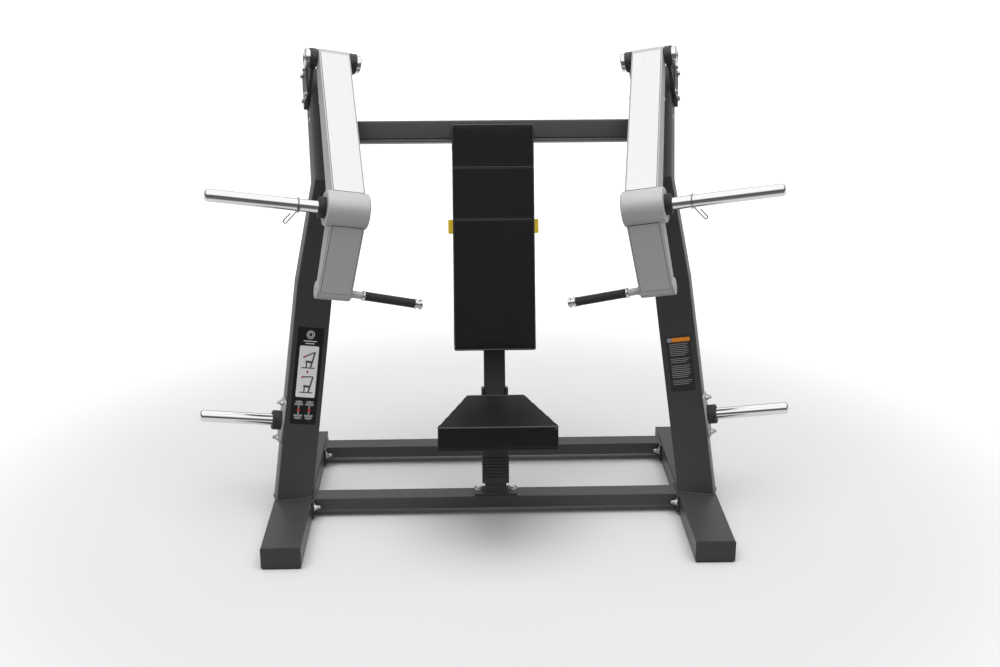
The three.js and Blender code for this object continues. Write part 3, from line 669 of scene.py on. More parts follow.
UPRIGHT_WIDTH = 134
UPRIGHT_DEPTH = 70
TUBE_CORNER = 5
FOOT_POINT = Vector((0, -383, -1600))
LOWER_KINK = Vector((0, -219, -797))
UPPER_KINK = Vector((0, -281, -404))
UPPER_LEAN = math.radians(49)
UPPER_RUN = Vector((0, math.sin(UPPER_LEAN), math.cos(UPPER_LEAN)))
UPPER_LENGTH = 485
STORAGE_LEVEL = -1305
STORAGE_PLATE_THICKNESS = 8
FOOT_HEIGHT = 5
RAIL_WIDTH = 140
RAIL_DEPTH = 75
RAIL_TOP = FOOT_HEIGHT + RAIL_DEPTH
RAIL_LENGTH = 1067
RAIL_OUTER = 828
RAIL_CAP = 3
CROSS_DEPTH = 80
CROSS_HEIGHT = 48
CROSS_TOP = 78
FLANGE_THICKNESS = 8
ROW_SHIFT = 533.5


def row_frame():
    """The row frame, for meshes drawn in millimetres."""
    return Matrix.Scale(MM, 4)


def carried(outline, origin, direction, across, deep, plane_point, plane_normal):
    """A tube's outline, drawn square to its direction, carried along it onto a plane."""
    points = []
    for x, y in outline:
        start = origin + across * x + deep * y
        reach = (plane_point - start).dot(plane_normal) / direction.dot(plane_normal)
        points.append(start + direction * reach)
    return points


def tube_through(shape, rings, matrix):
    """A closed solid through rings that have the same number of points."""
    form = bmesh.new()
    made = [[form.verts.new(point) for point in ring] for ring in rings]
    for low, high in zip(made, made[1:]):
        for i in range(len(low)):
            j = (i + 1) % len(low)
            form.faces.new((low[i], low[j], high[j], high[i]))
    form.faces.new(list(reversed(made[0])))
    form.faces.new(made[-1])
    return shape.take(form, matrix)


def upright(side):
    """The bent tube in three lengths, with weld beads at its kinks and foot and a plug in its top."""
    place = side_frame(side)
    to_side = place.inverted() @ row_frame()
    outline = rounded_rectangle(UPRIGHT_WIDTH, UPRIGHT_DEPTH, TUBE_CORNER)
    across = Vector((1, 0, 0))
    runs = [(LOWER_KINK - FOOT_POINT).normalized(), (UPPER_KINK - LOWER_KINK).normalized(), UPPER_RUN]
    top = UPPER_KINK + UPPER_LENGTH * UPPER_RUN
    rail_point = to_side @ Vector((0, 0, RAIL_TOP + GAP))
    rail_normal = (to_side.to_3x3() @ Vector((0, 0, 1))).normalized()
    planes = [
        (FOOT_POINT, runs[0], rail_point, rail_normal),
        (LOWER_KINK, runs[0], LOWER_KINK, (runs[0] + runs[1]).normalized()),
        (UPPER_KINK, runs[1], UPPER_KINK, (runs[1] + runs[2]).normalized()),
        (top, runs[2], top, runs[2]),
    ]
    rings = [
        carried(outline, origin, run, across, run.cross(across), point, normal)
        for origin, run, point, normal in planes
    ]
    tube = tube_through(Shape(), rings, place)
    tube.piece(side + "_upright_tube", "powder_coat", "frame", (side + "_upright",))
    beads = Shape()
    beads.wire(rings[0], 3.2, place, 10, closed=True)
    beads.wire(rings[1], 1.1, place, 8, closed=True)
    beads.wire(rings[2], 1.1, place, 8, closed=True)
    beads.piece(side + "_upright_weld_beads", "powder_coat", "frame")
    plug_outline = rounded_rectangle(UPRIGHT_WIDTH - 1, UPRIGHT_DEPTH - 1, TUBE_CORNER)
    plug = Shape().prism(plug_outline, 0.1, 26, place @ facing(UPPER_RUN, top), 4)
    plug.piece(side + "_upright_plug", "black_plastic", "frame")


def fasteners(side):
    """Cheek plates, their bolts, the storage plate's bolts and small button screws."""
    s = outward(side)
    place = side_frame(side)
    for cheek, way in (("outer", s), ("inner", -s)):
        plate = Shape()
        bolts = Shape()
        beside = Vector((0, -math.cos(UPPER_LEAN), math.sin(UPPER_LEAN)))
        centre = Vector((way * 79.4, 34, -106))
        turn = Matrix((UPPER_RUN, beside * way, Vector((way, 0, 0)))).transposed().to_4x4()
        local = place @ Matrix.Translation(centre) @ turn
        plate.prism(rounded_rectangle(146, 60, 8), 0, 4.5, local, 1.2)
        for t in (-62, 62):
            for n in (-19, 19):
                bolt(bolts, local @ shift(t, n, 4.5), 9.5)
        plate.piece(side + "_cheek_plate_" + cheek, "powder_coat", "frame")
        bolts.piece(side + "_cheek_bolts_" + cheek, "zinc_steel", "frame")
    storage = Shape()
    for rise in (-69, 69):
        spot = storage_point(side, GAP + STORAGE_PLATE_THICKNESS + 0.1) + Vector((0, 0, rise))
        nut_and_stud(storage, place @ facing((s, 0, 0), spot), 11)
    storage.piece(side + "_storage_bolts", "zinc_steel", "frame")
    screw_spot = UPPER_KINK + UPPER_RUN * 285
    screw_spot.x = s * UPRIGHT_WIDTH / 2
    button_screw(place @ facing((s, 0, 0), screw_spot)).piece(side + "_upright_screw", "zinc_steel", "frame")
    arm_spot = Vector((s * ARM_WIDTH / 2, 8, -215))
    screw = button_screw(arm_frame(side) @ facing((s, 0, 0), arm_spot))
    screw.piece(side + "_arm_screw", "zinc_steel", side + "_arm")


def button_screw(matrix):
    """A domed screw with a socket, standing on the plane Z = 0."""
    profile = [(0, -0.5), (7, -0.5), (7, 0.8), (6.2, 2.2), (4.6, 3.2), (3, 3.6), (2.6, 2), (0, 2)]
    return Shape().turned(profile, matrix, 32)


def base():
    """Floor tubes, end caps, weld beads and the bolts of the cross tubes' flanges."""
    for side in SIDES:
        x = outward(side) * (RAIL_OUTER - RAIL_WIDTH / 2)
        z = FOOT_HEIGHT + RAIL_DEPTH / 2
        run = Matrix.Rotation(math.radians(90), 4, "X")
        section = rounded_rectangle(RAIL_WIDTH, RAIL_DEPTH, TUBE_CORNER)
        middle = row_frame() @ shift(x, 0, z) @ run
        half = RAIL_LENGTH / 2
        rail = Shape().prism(section, 2 * RAIL_CAP - half, half - 2 * RAIL_CAP, middle, 0.4)
        rail.piece(side + "_floor_tube", "powder_coat", "frame", (side + "_base_rail",))
        for end, way in (("front", 1), ("rear", -1)):
            # The prism's own Z points to the front. The cap's neck is set back, which leaves a dark line.
            shape = Shape()
            for width, depth, corner, near, far in (
                (RAIL_WIDTH, RAIL_DEPTH, 3, half - RAIL_CAP, half),
                (RAIL_WIDTH - 6, RAIL_DEPTH - 6, 2, half - 2 * RAIL_CAP - 1, half - RAIL_CAP - 0.1),
            ):
                outline = rounded_rectangle(width, depth, corner)
                shape.prism(outline, min(way * near, way * far), max(way * near, way * far), middle, 0.6)
            node = side + "_rail_cap_" + end
            shape.piece(side + "_floor_tube_cap_" + end, "black_plastic", "frame", (node,))
    for name, y in (("front", 408 - ROW_SHIFT), ("rear", 898 - ROW_SHIFT)):
        bolts = Shape()
        beads = Shape()
        for s in (-1, 1):
            inner = s * (RAIL_OUTER - RAIL_WIDTH - GAP - FLANGE_THICKNESS)
            for spot_y in (y - 13, y + CROSS_DEPTH + 13):
                nut_and_stud(bolts, row_frame() @ facing((-s, 0, 0), (inner, spot_y, 50)), 11.5)
            section = rounded_rectangle(CROSS_DEPTH, CROSS_HEIGHT, 4)
            middle_y, middle_z = y + CROSS_DEPTH / 2, CROSS_TOP - CROSS_HEIGHT / 2
            ring = [(inner, middle_y + p, middle_z + q) for p, q in section]
            beads.wire(ring, 2.2, row_frame(), 8, closed=True)
        bolts.piece(name + "_cross_tube_bolts", "zinc_steel", "frame")
        beads.piece(name + "_cross_tube_weld_beads", "powder_coat", "frame")


SPINE_FOOT = Vector((0, 428 - ROW_SHIFT, CROSS_TOP))
SPINE_WIDTH = 80
SPINE_DEPTH = 76
SPINE_TOP = 1385


def spine_frame():
    """On the spine's foot: Z runs up the reclined spine and Y runs to the back."""
    up = Vector(joints["seat_height"]["axis"])
    across = Vector((1, 0, 0))
    turn = Matrix((across, up.cross(across), up)).transposed().to_4x4()
    return row_frame() @ Matrix.Translation(SPINE_FOOT) @ turn


def spine_details():
    """Bolts and weld bead of the spine's foot, weld beads of the top cross tube, and the spine's plug."""
    place = spine_frame()
    bolts = Shape()
    for x in (-62, 62):
        bolt(bolts, row_frame() @ shift(x, 455 - ROW_SHIFT, 86.4), 11)
    bolts.piece("spine_foot_bolts", "zinc_steel", "frame")
    to_spine = place.inverted() @ row_frame()
    # The bead stops short of the back, so that the seat's carriage clears it at the lowest setting.
    outline = [(-40, 44), (-40, 4), (-36, 0), (36, 0), (40, 4), (40, 44)]
    up = Vector((0, 0, 1))
    foot = carried(
        outline, Vector(), up, Vector((1, 0, 0)), Vector((0, 1, 0)),
        to_spine @ Vector((0, 0, 86.3)), (to_spine.to_3x3() @ up).normalized(),
    )
    beads = Shape().wire(foot, 3, place, 8)
    for z in (1354 - 36, 1354 + 31):
        beads.wire([(-38, -0.2, z), (38, -0.2, z)], 3, place, 8)
    beads.piece("spine_weld_beads", "powder_coat", "frame")
    plug_outline = rounded_rectangle(SPINE_WIDTH - 1, SPINE_DEPTH - 1, TUBE_CORNER)
    plug_place = place @ shift(0, SPINE_DEPTH / 2, 0)
    plug = Shape().prism(plug_outline, SPINE_TOP + 0.1, SPINE_TOP + 5, plug_place, 1.5)
    plug.piece("spine_top_plug", "black_plastic", "frame")


TOP_TUBE = {"depth": 70, "height": 80, "centre": 1354, "corner": 9, "lip": 10}


def top_cross_tube():
    """The tube between the uprights, cut at their inner faces, with a proud lip under a groove in front."""
    depth, height, corner = TOP_TUBE["depth"], TOP_TUBE["height"], TOP_TUBE["corner"]
    place = spine_frame()
    steps = 6
    box = rounded_rectangle(depth, height, corner, steps)
    front = -depth / 2
    bottom = -height / 2
    groove = bottom + TOP_TUBE["lip"]
    lip = [(front, groove + 4.5), (front + 4, groove + 4), (front + 4, groove), (front - 0.5, groove - 0.5)]
    lip += [(front - 4, bottom + 4), (front - 3, bottom + 1.5), (front + 1, bottom)]
    outline = box[:2 * (steps + 1)] + lip + box[3 * (steps + 1):]
    origin = Vector((0, front - GAP, TOP_TUBE["centre"]))
    rings = []
    for side in SIDES:
        to_spine = place.inverted() @ side_frame(side)
        face = to_spine @ Vector((-outward(side) * (UPRIGHT_WIDTH / 2 + GAP), 0, 0))
        normal = to_spine.to_3x3() @ Vector((1, 0, 0))
        axes = (Vector((1, 0, 0)), Vector((0, 1, 0)), Vector((0, 0, 1)))
        rings.append(carried(outline, origin, *axes, face, normal))
    tube_through(Shape(), rings, place).piece("top_tube", "powder_coat", "frame", ("top_cross_tube",))


# ---- upholstery ---------------------------------------------------------------------------------

SEAT_CORNER = Vector((0, 50 - ROW_SHIFT, 503))
SEAT_SLOPE = 3.4


def seat_frame():
    """On the seat's front top edge: X across, Y to the back along the seat, Z out of its top."""
    return row_frame() @ Matrix.Translation(SEAT_CORNER) @ tilted(-SEAT_SLOPE)


def swollen(mesh, voxel, pressure, cap, held):
    """A closed mesh in metres, filled like a padded cover. held says which points are fixed to the board."""
    made = bpy.data.objects.new("padding", mesh)
    bpy.context.scene.collection.objects.link(made)
    bpy.context.view_layer.objects.active = made
    remesh = made.modifiers.new("remesh", "REMESH")
    remesh.mode = "VOXEL"
    remesh.voxel_size = voxel * MM
    bpy.ops.object.modifier_apply(modifier="remesh")
    before = [v.co.copy() for v in made.data.vertices]
    group = made.vertex_groups.new(name="held")
    group.add([v.index for v in made.data.vertices if held(v.co)], 1.0, "REPLACE")
    cloth = made.modifiers.new("padding", "CLOTH")
    settings = cloth.settings
    settings.use_pressure = True
    settings.uniform_pressure_force = pressure
    settings.effector_weights.gravity = 0
    settings.vertex_group_mass = "held"
    settings.tension_stiffness = 40
    settings.compression_stiffness = 40
    settings.bending_stiffness = 4
    scene = bpy.context.scene
    for step in range(1, 21):
        scene.frame_set(step)
    bpy.ops.object.modifier_apply(modifier="padding")
    scene.frame_set(1)
    for v, start in zip(made.data.vertices, before):
        move = v.co - start
        if move.length > cap * MM:
            v.co = start + move.normalized() * cap * MM
    smooth = made.modifiers.new("finer", "SUBSURF")
    smooth.levels = 1
    bpy.ops.object.modifier_apply(modifier="finer")
    done = made.data
    bpy.data.objects.remove(made)
    return done


BACK_PAD = {"width": 302, "height": 826, "thickness": 62, "front": -145, "bottom": 545, "corner": 9}
BACK_SEAMS = (481, 670)
SEAT = {"length": 373, "front": 422, "back": 212, "thickness": 88, "corner": 7}


def back_pad_frame():
    """On the middle of the back pad's rear face: X across, Y up the pad, Z out of its front."""
    rear = BACK_PAD["front"] + BACK_PAD["thickness"]
    middle = BACK_PAD["bottom"] + BACK_PAD["height"] / 2
    return spine_frame() @ shift(0, rear, middle) @ Matrix.Rotation(math.radians(90), 4, "X")


def seat_outline(inset, steps=5):
    """The seat's plan, narrow at the back, with rounded corners."""
    half_front = SEAT["front"] / 2 - inset
    half_back = SEAT["back"] / 2 - inset
    back = SEAT["length"] - inset
    corners = [(-half_front, inset), (half_front, inset), (half_back, back), (-half_back, back)]
    outline = []
    for i, corner in enumerate(corners):
        here = Vector(corner)
        before = (Vector(corners[i - 1]) - here).normalized()
        after = (Vector(corners[(i + 1) % 4]) - here).normalized()
        for k in range(steps + 1):
            t = k / steps
            start = here + before * SEAT["corner"]
            end = here + after * SEAT["corner"]
            outline.append(tuple((1 - t) ** 2 * start + 2 * t * (1 - t) * here + t * t * end))
    return outline


def form_of(shape):
    """The collected forms as a mesh datablock."""
    mesh = bpy.data.meshes.new("form")
    shape.mesh.to_mesh(mesh)
    shape.mesh.free()
    return mesh


def pressed(mesh, place, depth_at):
    """Pushes each point in along its normal by a depth in millimetres that depends on where it is."""
    local = place.inverted()
    normals = [v.normal.copy() for v in mesh.vertices]
    for v, normal in zip(mesh.vertices, normals):
        depth = depth_at(local @ v.co)
        if depth:
            v.co -= normal * depth * MM


def surface(mesh, place):
    """Finds where a ray, given in a frame, leaves a mesh."""
    tree = BVHTree.FromPolygons([v.co for v in mesh.vertices], [p.vertices for p in mesh.polygons])
    back = place.inverted()
    turn = place.to_3x3()

    def hit(start, direction):
        found = tree.ray_cast(place @ Vector(start), (turn @ Vector(direction)).normalized())[0]
        return None if found is None else back @ found

    return hit


def edge_cord(hit, outline, level):
    """A cord laid on a cushion's rounded upper edge, whose rounding starts at a level under the top face."""
    inset = 20
    spacing = 9
    corners = [Vector(p) for p in outline]
    path = []
    for i, point in enumerate(corners):
        after = corners[(i + 1) % len(corners)]
        run = (after - point).normalized()
        out = Vector((run.y, -run.x))
        pieces = max(1, round((after - point).length / spacing))
        for k in range(pieces):
            inner = point.lerp(after, k / pieces) - out * inset
            found = hit((inner.x, inner.y, level - inset), (out.x, out.y, 1))
            if found:
                path.append(found)
    return path


def back_pad():
    """A firm padded board in three panels, with a corded seam and two rows of stitches between panels."""
    place = back_pad_frame()
    w, h, t = BACK_PAD["width"], BACK_PAD["height"], BACK_PAD["thickness"]
    start = Shape().prism(rounded_rectangle(w - 2.6, h - 2.6, 8), 0.5, t - 1.3, place, 7, 4)
    local = place.inverted()
    mesh = swollen(form_of(start), 5.0, 4.0, 1.4, lambda co: (local @ co).z < 4)
    seams = [rise - h / 2 for rise in BACK_SEAMS]

    def groove(point):
        if point.z < 3:
            return 0
        nearest = min(abs(point.y - seam) for seam in seams)
        return 2.6 * math.exp(-(nearest / 3.0) ** 2)

    pressed(mesh, place, groove)
    hit = surface(mesh, place)
    cords = Shape()
    stitches = Shape()
    for seam in seams:
        rays = [((-100, seam, z), (-1, 0, 0)) for z in range(6, 50, 5)]
        rays += [((-100, seam, 46), (-math.cos(a), 0, math.sin(a))) for a in (0.3, 0.6, 0.9, 1.2)]
        rays += [((x, seam, 20), (0, 0, 1)) for x in range(-140, 141, 8)]
        rays += [((100, seam, 46), (math.cos(a), 0, math.sin(a))) for a in (1.2, 0.9, 0.6, 0.3)]
        rays += [((100, seam, z), (1, 0, 0)) for z in range(46, 1, -5)]
        cords.wire([p for p in (hit(*ray) for ray in rays) if p], 1.3, place, 8)
        for row in (seam - 6, seam + 6):
            for i in range(-21, 22):
                ends = [hit((i * 6.5 + step, row, 20), (0, 0, 1)) for step in (-2, 2)]
                if all(ends):
                    stitches.wire([p + Vector((0, 0, 0.1)) for p in ends], 0.5, place, 6)
    settled(mesh, "back_pad_cover", "black_vinyl", "back", ("back_pad",), 80)
    welt = Shape().wire(edge_cord(hit, rounded_rectangle(w, h, 9), t + 1), 3.0, place, 10, closed=True)
    welt.piece("back_pad_welt", "black_vinyl", "back", finish=piping)
    cords.piece("back_pad_seam_cords", "black_vinyl", "back", finish=thread)
    stitches.piece("back_pad_stitches", "black_vinyl", "back", finish=thread)


def seat_pad():
    """A boxed cushion with a welt round its top edge and a groove pressed round its bottom."""
    place = seat_frame()
    start = Shape().prism(seat_outline(1.3), -SEAT["thickness"] + 0.5, -1.3, place, 6, 4)
    local = place.inverted()
    mesh = swollen(form_of(start), 4.5, 4.0, 1.4, lambda co: (local @ co).z < -SEAT["thickness"] + 4)

    def groove(point):
        return 1.6 * math.exp(-((point.z + SEAT["thickness"] - 9) / 3.0) ** 2)

    pressed(mesh, place, groove)
    hit = surface(mesh, place)
    settled(mesh, "seat_cover", "black_vinyl", "seat", ("seat_pad",), 80)
    welt = Shape().wire(edge_cord(hit, seat_outline(0, 8), 1), 2.8, seat_frame(), 10, closed=True)
    welt.piece("seat_top_welt", "black_vinyl", "seat", finish=piping)


def release_lever():
    """The rod behind the back pad and its two moulded yellow paddles."""
    place = spine_frame() @ shift(0, -66, BACK_PAD["bottom"] + 457)
    across = Matrix.Rotation(math.radians(90), 4, "Y")
    rod = Shape().turned([(0, -150), (5.7, -150), (5.7, 150), (0, 150)], place @ across, 32, 0.5)
    rod.piece("lever_rod", "zinc_steel", "lever")
    paddles = Shape()
    front = Matrix.Rotation(math.radians(90), 4, "X")
    for s in (-1, 1):
        spot = place @ shift(s * 155, 0, 0) @ front
        paddles.prism(rounded_rectangle(24, 52, 5), -7, 6, spot, 1.8)
        for x in (-5.5, 5.5):
            paddles.prism([(x + p, q) for p, q in rounded_rectangle(5, 42, 2.4)], 6.02, 7.2, spot, 0.6)
    paddles.piece("lever_paddles", "yellow_plastic", "lever", ("release_lever",))


def pull_pin():
    """The steel pin behind the seat carriage with a ribbed yellow knob."""
    place = spine_frame() @ shift(0, 0, 200) @ Matrix.Rotation(math.radians(-90), 4, "X")
    tip = 76.3
    knob = tip + 9 + 1.2 + 16
    pin = Shape().turned([(0, tip), (7.8, tip), (7.8, knob), (0, knob)], place, 32, 0.6)
    pin.piece("seat_pin_shank", "zinc_steel", "seat_pin")
    grip = Shape()
    profile = [(0, knob + 0.05), (15, knob + 0.05), (18, knob + 2), (20.5, knob + 6), (20.5, knob + 20)]
    profile += [(18.5, knob + 24), (14, knob + 26), (0, knob + 26)]
    grip.turned(profile, place, 48)
    for i in range(12):
        a = 2 * math.pi * i / 12
        rib = [(20.3 * math.cos(a), 20.3 * math.sin(a), knob + z) for z in (6, 20)]
        grip.wire(rib, 1.7, place, 8)
    grip.piece("seat_pin_knob", "yellow_plastic", "seat_pin", ("seat_pull_pin",))


# ---- placards -----------------------------------------------------------------------------------

def placard_frame(side, below_kink):
    """On the front face of the upright's lower length: X across, Y up the upright, Z out of it."""
    run = (LOWER_KINK - FOOT_POINT).normalized()
    across = Vector((1, 0, 0))
    deep = run.cross(across)
    origin = LOWER_KINK - run * below_kink - deep * (UPRIGHT_DEPTH / 2)
    turn = Matrix((across, run, -deep)).transposed().to_4x4()
    return side_frame(side) @ Matrix.Translation(origin) @ turn


def plate_at(shape, place, x, y, width, height, level, corner=1.5):
    """A thin flat piece of print, so many tenths of a millimetre above the face."""
    corner = min(corner, width / 2.1, height / 2.1)
    outline = [(x + p, y + q) for p, q in rounded_rectangle(width, height, corner, 3)]
    return shape.prism(outline, level, level + 0.25, place)


def stroke(shape, place, start, end, width, level):
    """A straight bar of print from start to end."""
    a, b = Vector(start), Vector(end)
    run = (b - a).normalized()
    beside = Vector((-run.y, run.x)) * width / 2
    outline = [tuple(p) for p in (a - beside, b - beside, b + beside, a + beside)]
    return shape.prism(outline, level, level + 0.25, place)


def exercise_placard():
    """A generic placard: a light panel with two machine pictograms, and a pair of weight plates below it."""
    place = placard_frame("left", 343)
    base = plate_at(Shape(), place, 0, 0, 98, 362, 0.05, 4)
    base.piece("left_placard_base", "black_plastic", "frame", finish=print_black)
    light = Shape()
    plate_at(light, place, 0, 16, 72, 192, 0.35, 5)
    for y, width in ((130, 50), (121, 34)):
        plate_at(light, place, 0, y, width, 3, 0.35, 1)
    for radius in (9, 15):
        rim = [(radius - 2.4, 0.35), (radius, 0.35), (radius, 0.6), (radius - 2.4, 0.6), (radius - 2.4, 0.35)]
        light.turned(rim, place @ shift(0, 154, 0), 40)
    light.piece("left_placard_panel", "black_plastic", "frame", finish=print_light)
    dark = Shape()
    red = Shape()
    for y, lift in ((62, 0), (-30, 16)):
        machine_pictogram(dark, red, place, y, lift)
    stroke(red, place, (0, 20), (0, 10), 6, 0.65)
    grey = Shape()
    for x in (-20, 20):
        weight_plate(grey, red, place, x, -128)
    dark.piece("left_placard_pictograms", "black_plastic", "frame", finish=print_dark)
    red.piece("left_placard_accents", "black_plastic", "frame", finish=print_red)
    grey.piece("left_placard_plates", "black_plastic", "frame", finish=print_grey)


def machine_pictogram(dark, red, place, y, lift):
    """A bench with a reclined back and a press arm, drawn in bars."""
    level = 0.65
    stroke(dark, place, (-24, y - 32), (26, y - 32), 4, level)
    stroke(dark, place, (10, y - 30), (23, y + 28), 6, level)
    stroke(dark, place, (-10, y - 8), (14, y - 10), 8, level)
    stroke(dark, place, (-6, y - 10), (-6, y - 30), 5, level)
    stroke(dark, place, (22, y + 28), (-12, y + 10 + lift), 4.5, level)
    stroke(red, place, (-12, y + 12 + lift), (-20, y + 6 + lift), 6, level)


def weight_plate(grey, red, place, x, y):
    """A bar standing between two plates, with a marked middle."""
    level = 0.35
    stroke(grey, place, (x, y - 36), (x, y + 36), 5, level)
    for s in (-1, 1):
        for reach, width in ((30, 26), (21, 32)):
            plate_at(grey, place, x, y + s * reach, width, 7, level, 2)
    plate_at(red, place, x, y, 12, 9, level + 0.3, 2)


def plain_placard():
    """A generic dark placard with a plain header band and rows of bars."""
    place = placard_frame("right", 314)
    base = plate_at(Shape(), place, 0, 0, 92, 206, 0.05, 4)
    base.piece("right_placard_base", "black_plastic", "frame", finish=print_charcoal)
    header = plate_at(Shape(), place, 10, 90, 68, 15, 0.35, 1)
    header.piece("right_placard_header", "black_plastic", "frame", finish=print_orange)
    bars = Shape()
    plate_at(bars, place, -33, 90, 16, 15, 0.35, 1)
    y = 74
    for group in (7, 3, 7, 3):
        for i in range(group):
            short = 14 if i == group - 1 else 6 * (i % 2)
            plate_at(bars, place, -short / 2, y, 72 - short, 1.8, 0.35, 0.7)
            y -= 7
        y -= 6
    bars.piece("right_placard_bars", "black_plastic", "frame", finish=print_grey)


def spring_finish():
    made = Finish("spring_steel", (0.30, 0.30, 0.305), 0.3, 1.0)
    made.rough(made.noise(300), 0.22, 0.38)
    return made.material


def panel_finish():
    made = Finish("bright_panel_paint", (0.58, 0.58, 0.585), 0.42, 0.15)
    made.tint(made.between(made.noise(380, 1), 0.42, 0.62), (0.72, 0.72, 0.725), 0.5)
    made.rough(made.noise(500, 2), 0.36, 0.48)
    made.bump(made.noise(1600, 2), 0.03, 0.4)
    return made.material


def print_finish(name, colour):
    made = Finish(name, colour, 0.35)
    made.tint(made.noise(200), tuple(c * 0.85 for c in colour), 0.4)
    made.rough(made.noise(90), 0.28, 0.42)
    return made.material


def thread_finish():
    made = Finish("seam_thread", (0.085, 0.08, 0.068), 0.7)
    made.tint(made.noise(700), (0.05, 0.048, 0.042), 0.6)
    made.bump(made.noise(2500, 1, (1, 1, 1)), 0.15, 0.6)
    return made.material


def piping_finish():
    # Lighter than the cover's vinyl: a painted highlight along the welted edges.
    made = Finish("vinyl_piping_painted_highlight", (0.014, 0.014, 0.0145), 0.3)
    made.shader.inputs["Specular IOR Level"].default_value = 1.0
    made.tint(made.noise(60), (0.02, 0.02, 0.0205), 0.6)
    made.rough(made.noise(300), 0.26, 0.36)
    made.bump(made.cells(700), 0.08, 0.5)
    return made.material


thread = thread_finish()
piping = piping_finish()
print_black = print_finish("placard_black", (0.004, 0.004, 0.0045))
print_charcoal = print_finish("placard_charcoal", (0.019, 0.019, 0.021))
print_light = print_finish("placard_light_grey", (0.72, 0.72, 0.73))
print_grey = print_finish("placard_grey", (0.30, 0.31, 0.32))
print_dark = print_finish("placard_dark_grey", (0.06, 0.06, 0.065))
print_red = print_finish("placard_red", (0.42, 0.02, 0.018))
print_orange = print_finish("placard_orange", (0.75, 0.24, 0.02))
panel_paint = panel_finish()
spring_steel = spring_finish()


# ---- CAD nodes that are shown -------------------------------------------------------------------

def dress(node):
    """Gives a CAD node its finish, joins its loose triangles and rounds its edges."""
    slot_name = node.data.materials[0].name
    if node.name.endswith("storage_plate"):
        slot_name = "silver_paint"
    node.data.materials[0] = finishes[slot_name]
    if "custom_normal" in node.data.attributes:
        node.data.attributes.remove(node.data.attributes["custom_normal"])
    node.data.shade_smooth()
    weld = node.modifiers.new("weld", "WELD")
    weld.merge_threshold = 0.01 * MM
    bevel = node.modifiers.new("edges", "BEVEL")
    bevel.width = 0.9 * MM
    bevel.segments = 2
    bevel.limit_method = "ANGLE"
    bevel.angle_limit = math.radians(40)
    flat = node.modifiers.new("flat_faces", "WEIGHTED_NORMAL")
    flat.mode = "FACE_AREA"


for node in nodes.values():
    dress(node)
for side in SIDES:
    weight_horn(side)
    storage_horn(side)
    hub(side)
    arm_faces(side)
    spring_clip(side)
    axle_caps(side)
    boss_cap(side)
    handle(side)
    upright(side)
    fasteners(side)
base()
spine_details()
top_cross_tube()
back_pad()
seat_pad()
release_lever()
pull_pin()
exercise_placard()
plain_placard()


# ---- stage --------------------------------------------------------------------------------------

def floor():
    """Pale to the camera and white far away. What it throws back at the machine is dimmer."""
    made = Finish("studio_floor", (0.66, 0.66, 0.66), 0.75)
    place = made.node("ShaderNodeTexCoord")
    reach = made.node("ShaderNodeVectorMath", operation="LENGTH")
    split = made.node("ShaderNodeSeparateXYZ")
    path = made.node("ShaderNodeLightPath")
    made.link(place.outputs["Object"], reach.inputs[0])
    made.link(place.outputs["Object"], split.inputs[0])

    def shades(value, start, end, near, far):
        fade = made.node("ShaderNodeMapRange", interpolation_type="SMOOTHSTEP")
        fade.inputs["From Min"].default_value = start
        fade.inputs["From Max"].default_value = end
        fade.inputs["To Min"].default_value = near
        fade.inputs["To Max"].default_value = far
        made.link(value, fade.inputs["Value"])
        return fade.outputs["Result"]

    def choice(ray, otherwise, chosen):
        mix = made.node("ShaderNodeMix", data_type="FLOAT")
        made.link(path.outputs[ray], mix.inputs["Factor"])
        made.link(otherwise, mix.inputs["A"])
        made.link(chosen, mix.inputs["B"])
        return mix.outputs["Result"]

    # Painted light in the colour that other rays see: the bounce onto the machine grows brighter towards the
    # back, and shiny faces mirror a painted pool of light near the machine that goes dark far in front. The
    # camera sees the floor darker near the machine and white far away.
    scattered = shades(split.outputs["Y"], 0.4, 2.5, 0.34, 0.75)
    mirrored = shades(split.outputs["Y"], -2.3, -1.0, 0.10, 0.58)
    seen = shades(reach.outputs["Value"], 1.4, 3.4, 0.55, 0.86)
    shade = choice("Is Camera Ray", choice("Is Glossy Ray", scattered, mirrored), seen)
    made.link(shade, made.shader.inputs["Base Color"])
    made.shader.inputs["Specular IOR Level"].default_value = 0
    bpy.ops.mesh.primitive_plane_add(size=80, location=(0, 0, -0.0005))
    plane = bpy.context.object
    plane.name = "studio_floor"
    plane.data.materials.append(made.material)


def soft_sun(name, azimuth, elevation, spread, strength):
    """A far, wide light. Azimuth 0 shines from the front and 90 from the right, in degrees.

    Shiny faces mirror the world's gradient in place of the light itself.
    """
    data = bpy.data.lights.new(name, "SUN")
    data.angle = math.radians(spread)
    data.energy = strength
    light = bpy.data.objects.new(name, data)
    bpy.context.scene.collection.objects.link(light)
    a, e = math.radians(azimuth), math.radians(elevation)
    towards = Vector((math.sin(a) * math.cos(e), -math.cos(a) * math.cos(e), math.sin(e)))
    light.rotation_mode = "QUATERNION"
    light.rotation_quaternion = towards.to_track_quat("Z", "Y")
    light.visible_glossy = False


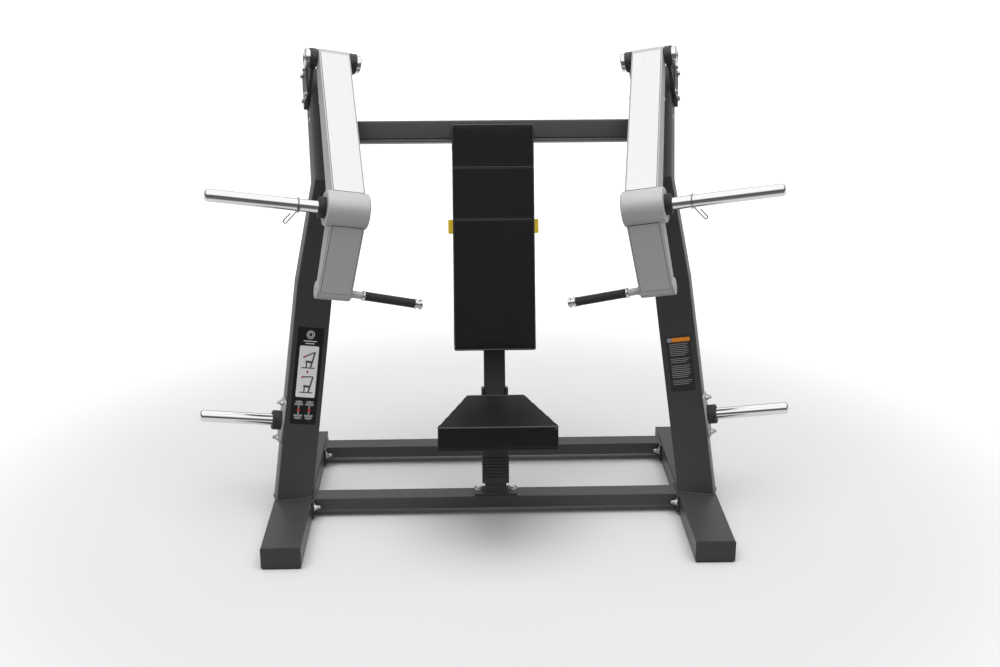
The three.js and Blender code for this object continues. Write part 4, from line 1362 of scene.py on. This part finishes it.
def world():
    """White to the camera. What lights the object is bright overhead and behind, and dim in front."""
    made = bpy.data.worlds.new("studio")
    bpy.context.scene.world = made
    made.use_nodes = True
    tree = made.node_tree
    tree.nodes.clear()

    def node(kind, **settings):
        added = tree.nodes.new(kind)
        for key, value in settings.items():
            setattr(added, key, value)
        return added

    def ramp(value, start, end, low, high):
        added = node("ShaderNodeMapRange", interpolation_type="SMOOTHSTEP")
        for key, number in zip(("From Min", "From Max", "To Min", "To Max"), (start, end, low, high)):
            added.inputs[key].default_value = number
        tree.links.new(value, added.inputs["Value"])
        return added.outputs["Result"]

    def combined(operation, first, second):
        added = node("ShaderNodeMath", operation=operation)
        tree.links.new(first, added.inputs[0])
        tree.links.new(second, added.inputs[1])
        return added.outputs[0]

    def background(strength=None):
        added = node("ShaderNodeBackground")
        added.inputs["Color"].default_value = (1, 1, 1, 1)
        if strength is not None:
            tree.links.new(strength, added.inputs["Strength"])
        return added.outputs[0]

    def choice(ray, otherwise, chosen):
        added = node("ShaderNodeMixShader")
        tree.links.new(path.outputs[ray], added.inputs[0])
        tree.links.new(otherwise, added.inputs[1])
        tree.links.new(chosen, added.inputs[2])
        return added.outputs[0]

    place = node("ShaderNodeTexCoord")
    split = node("ShaderNodeSeparateXYZ")
    path = node("ShaderNodeLightPath")
    out = node("ShaderNodeOutputWorld")
    tree.links.new(place.outputs["Generated"], split.inputs[0])
    height, depth = split.outputs["Z"], split.outputs["Y"]
    scattered = combined("ADD", ramp(height, 0.05, 0.75, 0.08, 0.50), ramp(depth, 0.0, 0.5, 0.0, 0.15))
    mirrored = ramp(height, 0.26, 0.62, 0.12, 1.35)
    lit = choice("Is Glossy Ray", background(scattered), background(mirrored))
    tree.links.new(choice("Is Camera Ray", lit, background()), out.inputs["Surface"])


def camera():
    data = bpy.data.cameras.new("photo_camera")
    data.lens = 50
    data.sensor_width = 36
    made = bpy.data.objects.new("photo_camera", data)
    bpy.context.scene.collection.objects.link(made)
    pitch = math.radians(18.3)
    yaw = math.radians(1.53)
    roll = math.radians(-0.2)
    forward = Vector((math.sin(yaw) * math.cos(pitch), math.cos(yaw) * math.cos(pitch), -math.sin(pitch)))
    across = Vector((math.cos(yaw), -math.sin(yaw), 0))
    up = across.cross(forward)
    level = across
    across = math.cos(roll) * level + math.sin(roll) * up
    up = -math.sin(roll) * level + math.cos(roll) * up
    turn = Matrix((across, up, -forward)).transposed().to_4x4()
    made.matrix_world = Matrix.Translation((-0.1102, -4.8802, 2.2933)) @ turn
    bpy.context.scene.camera = made


floor()
world()
camera()
soft_sun("overhead", 0, 83, 60, 2.35)
soft_sun("front_left", -38, 58, 40, 0.62)
soft_sun("front_right", 38, 58, 40, 0.62)
bpy.context.scene.view_settings.view_transform = "Standard"
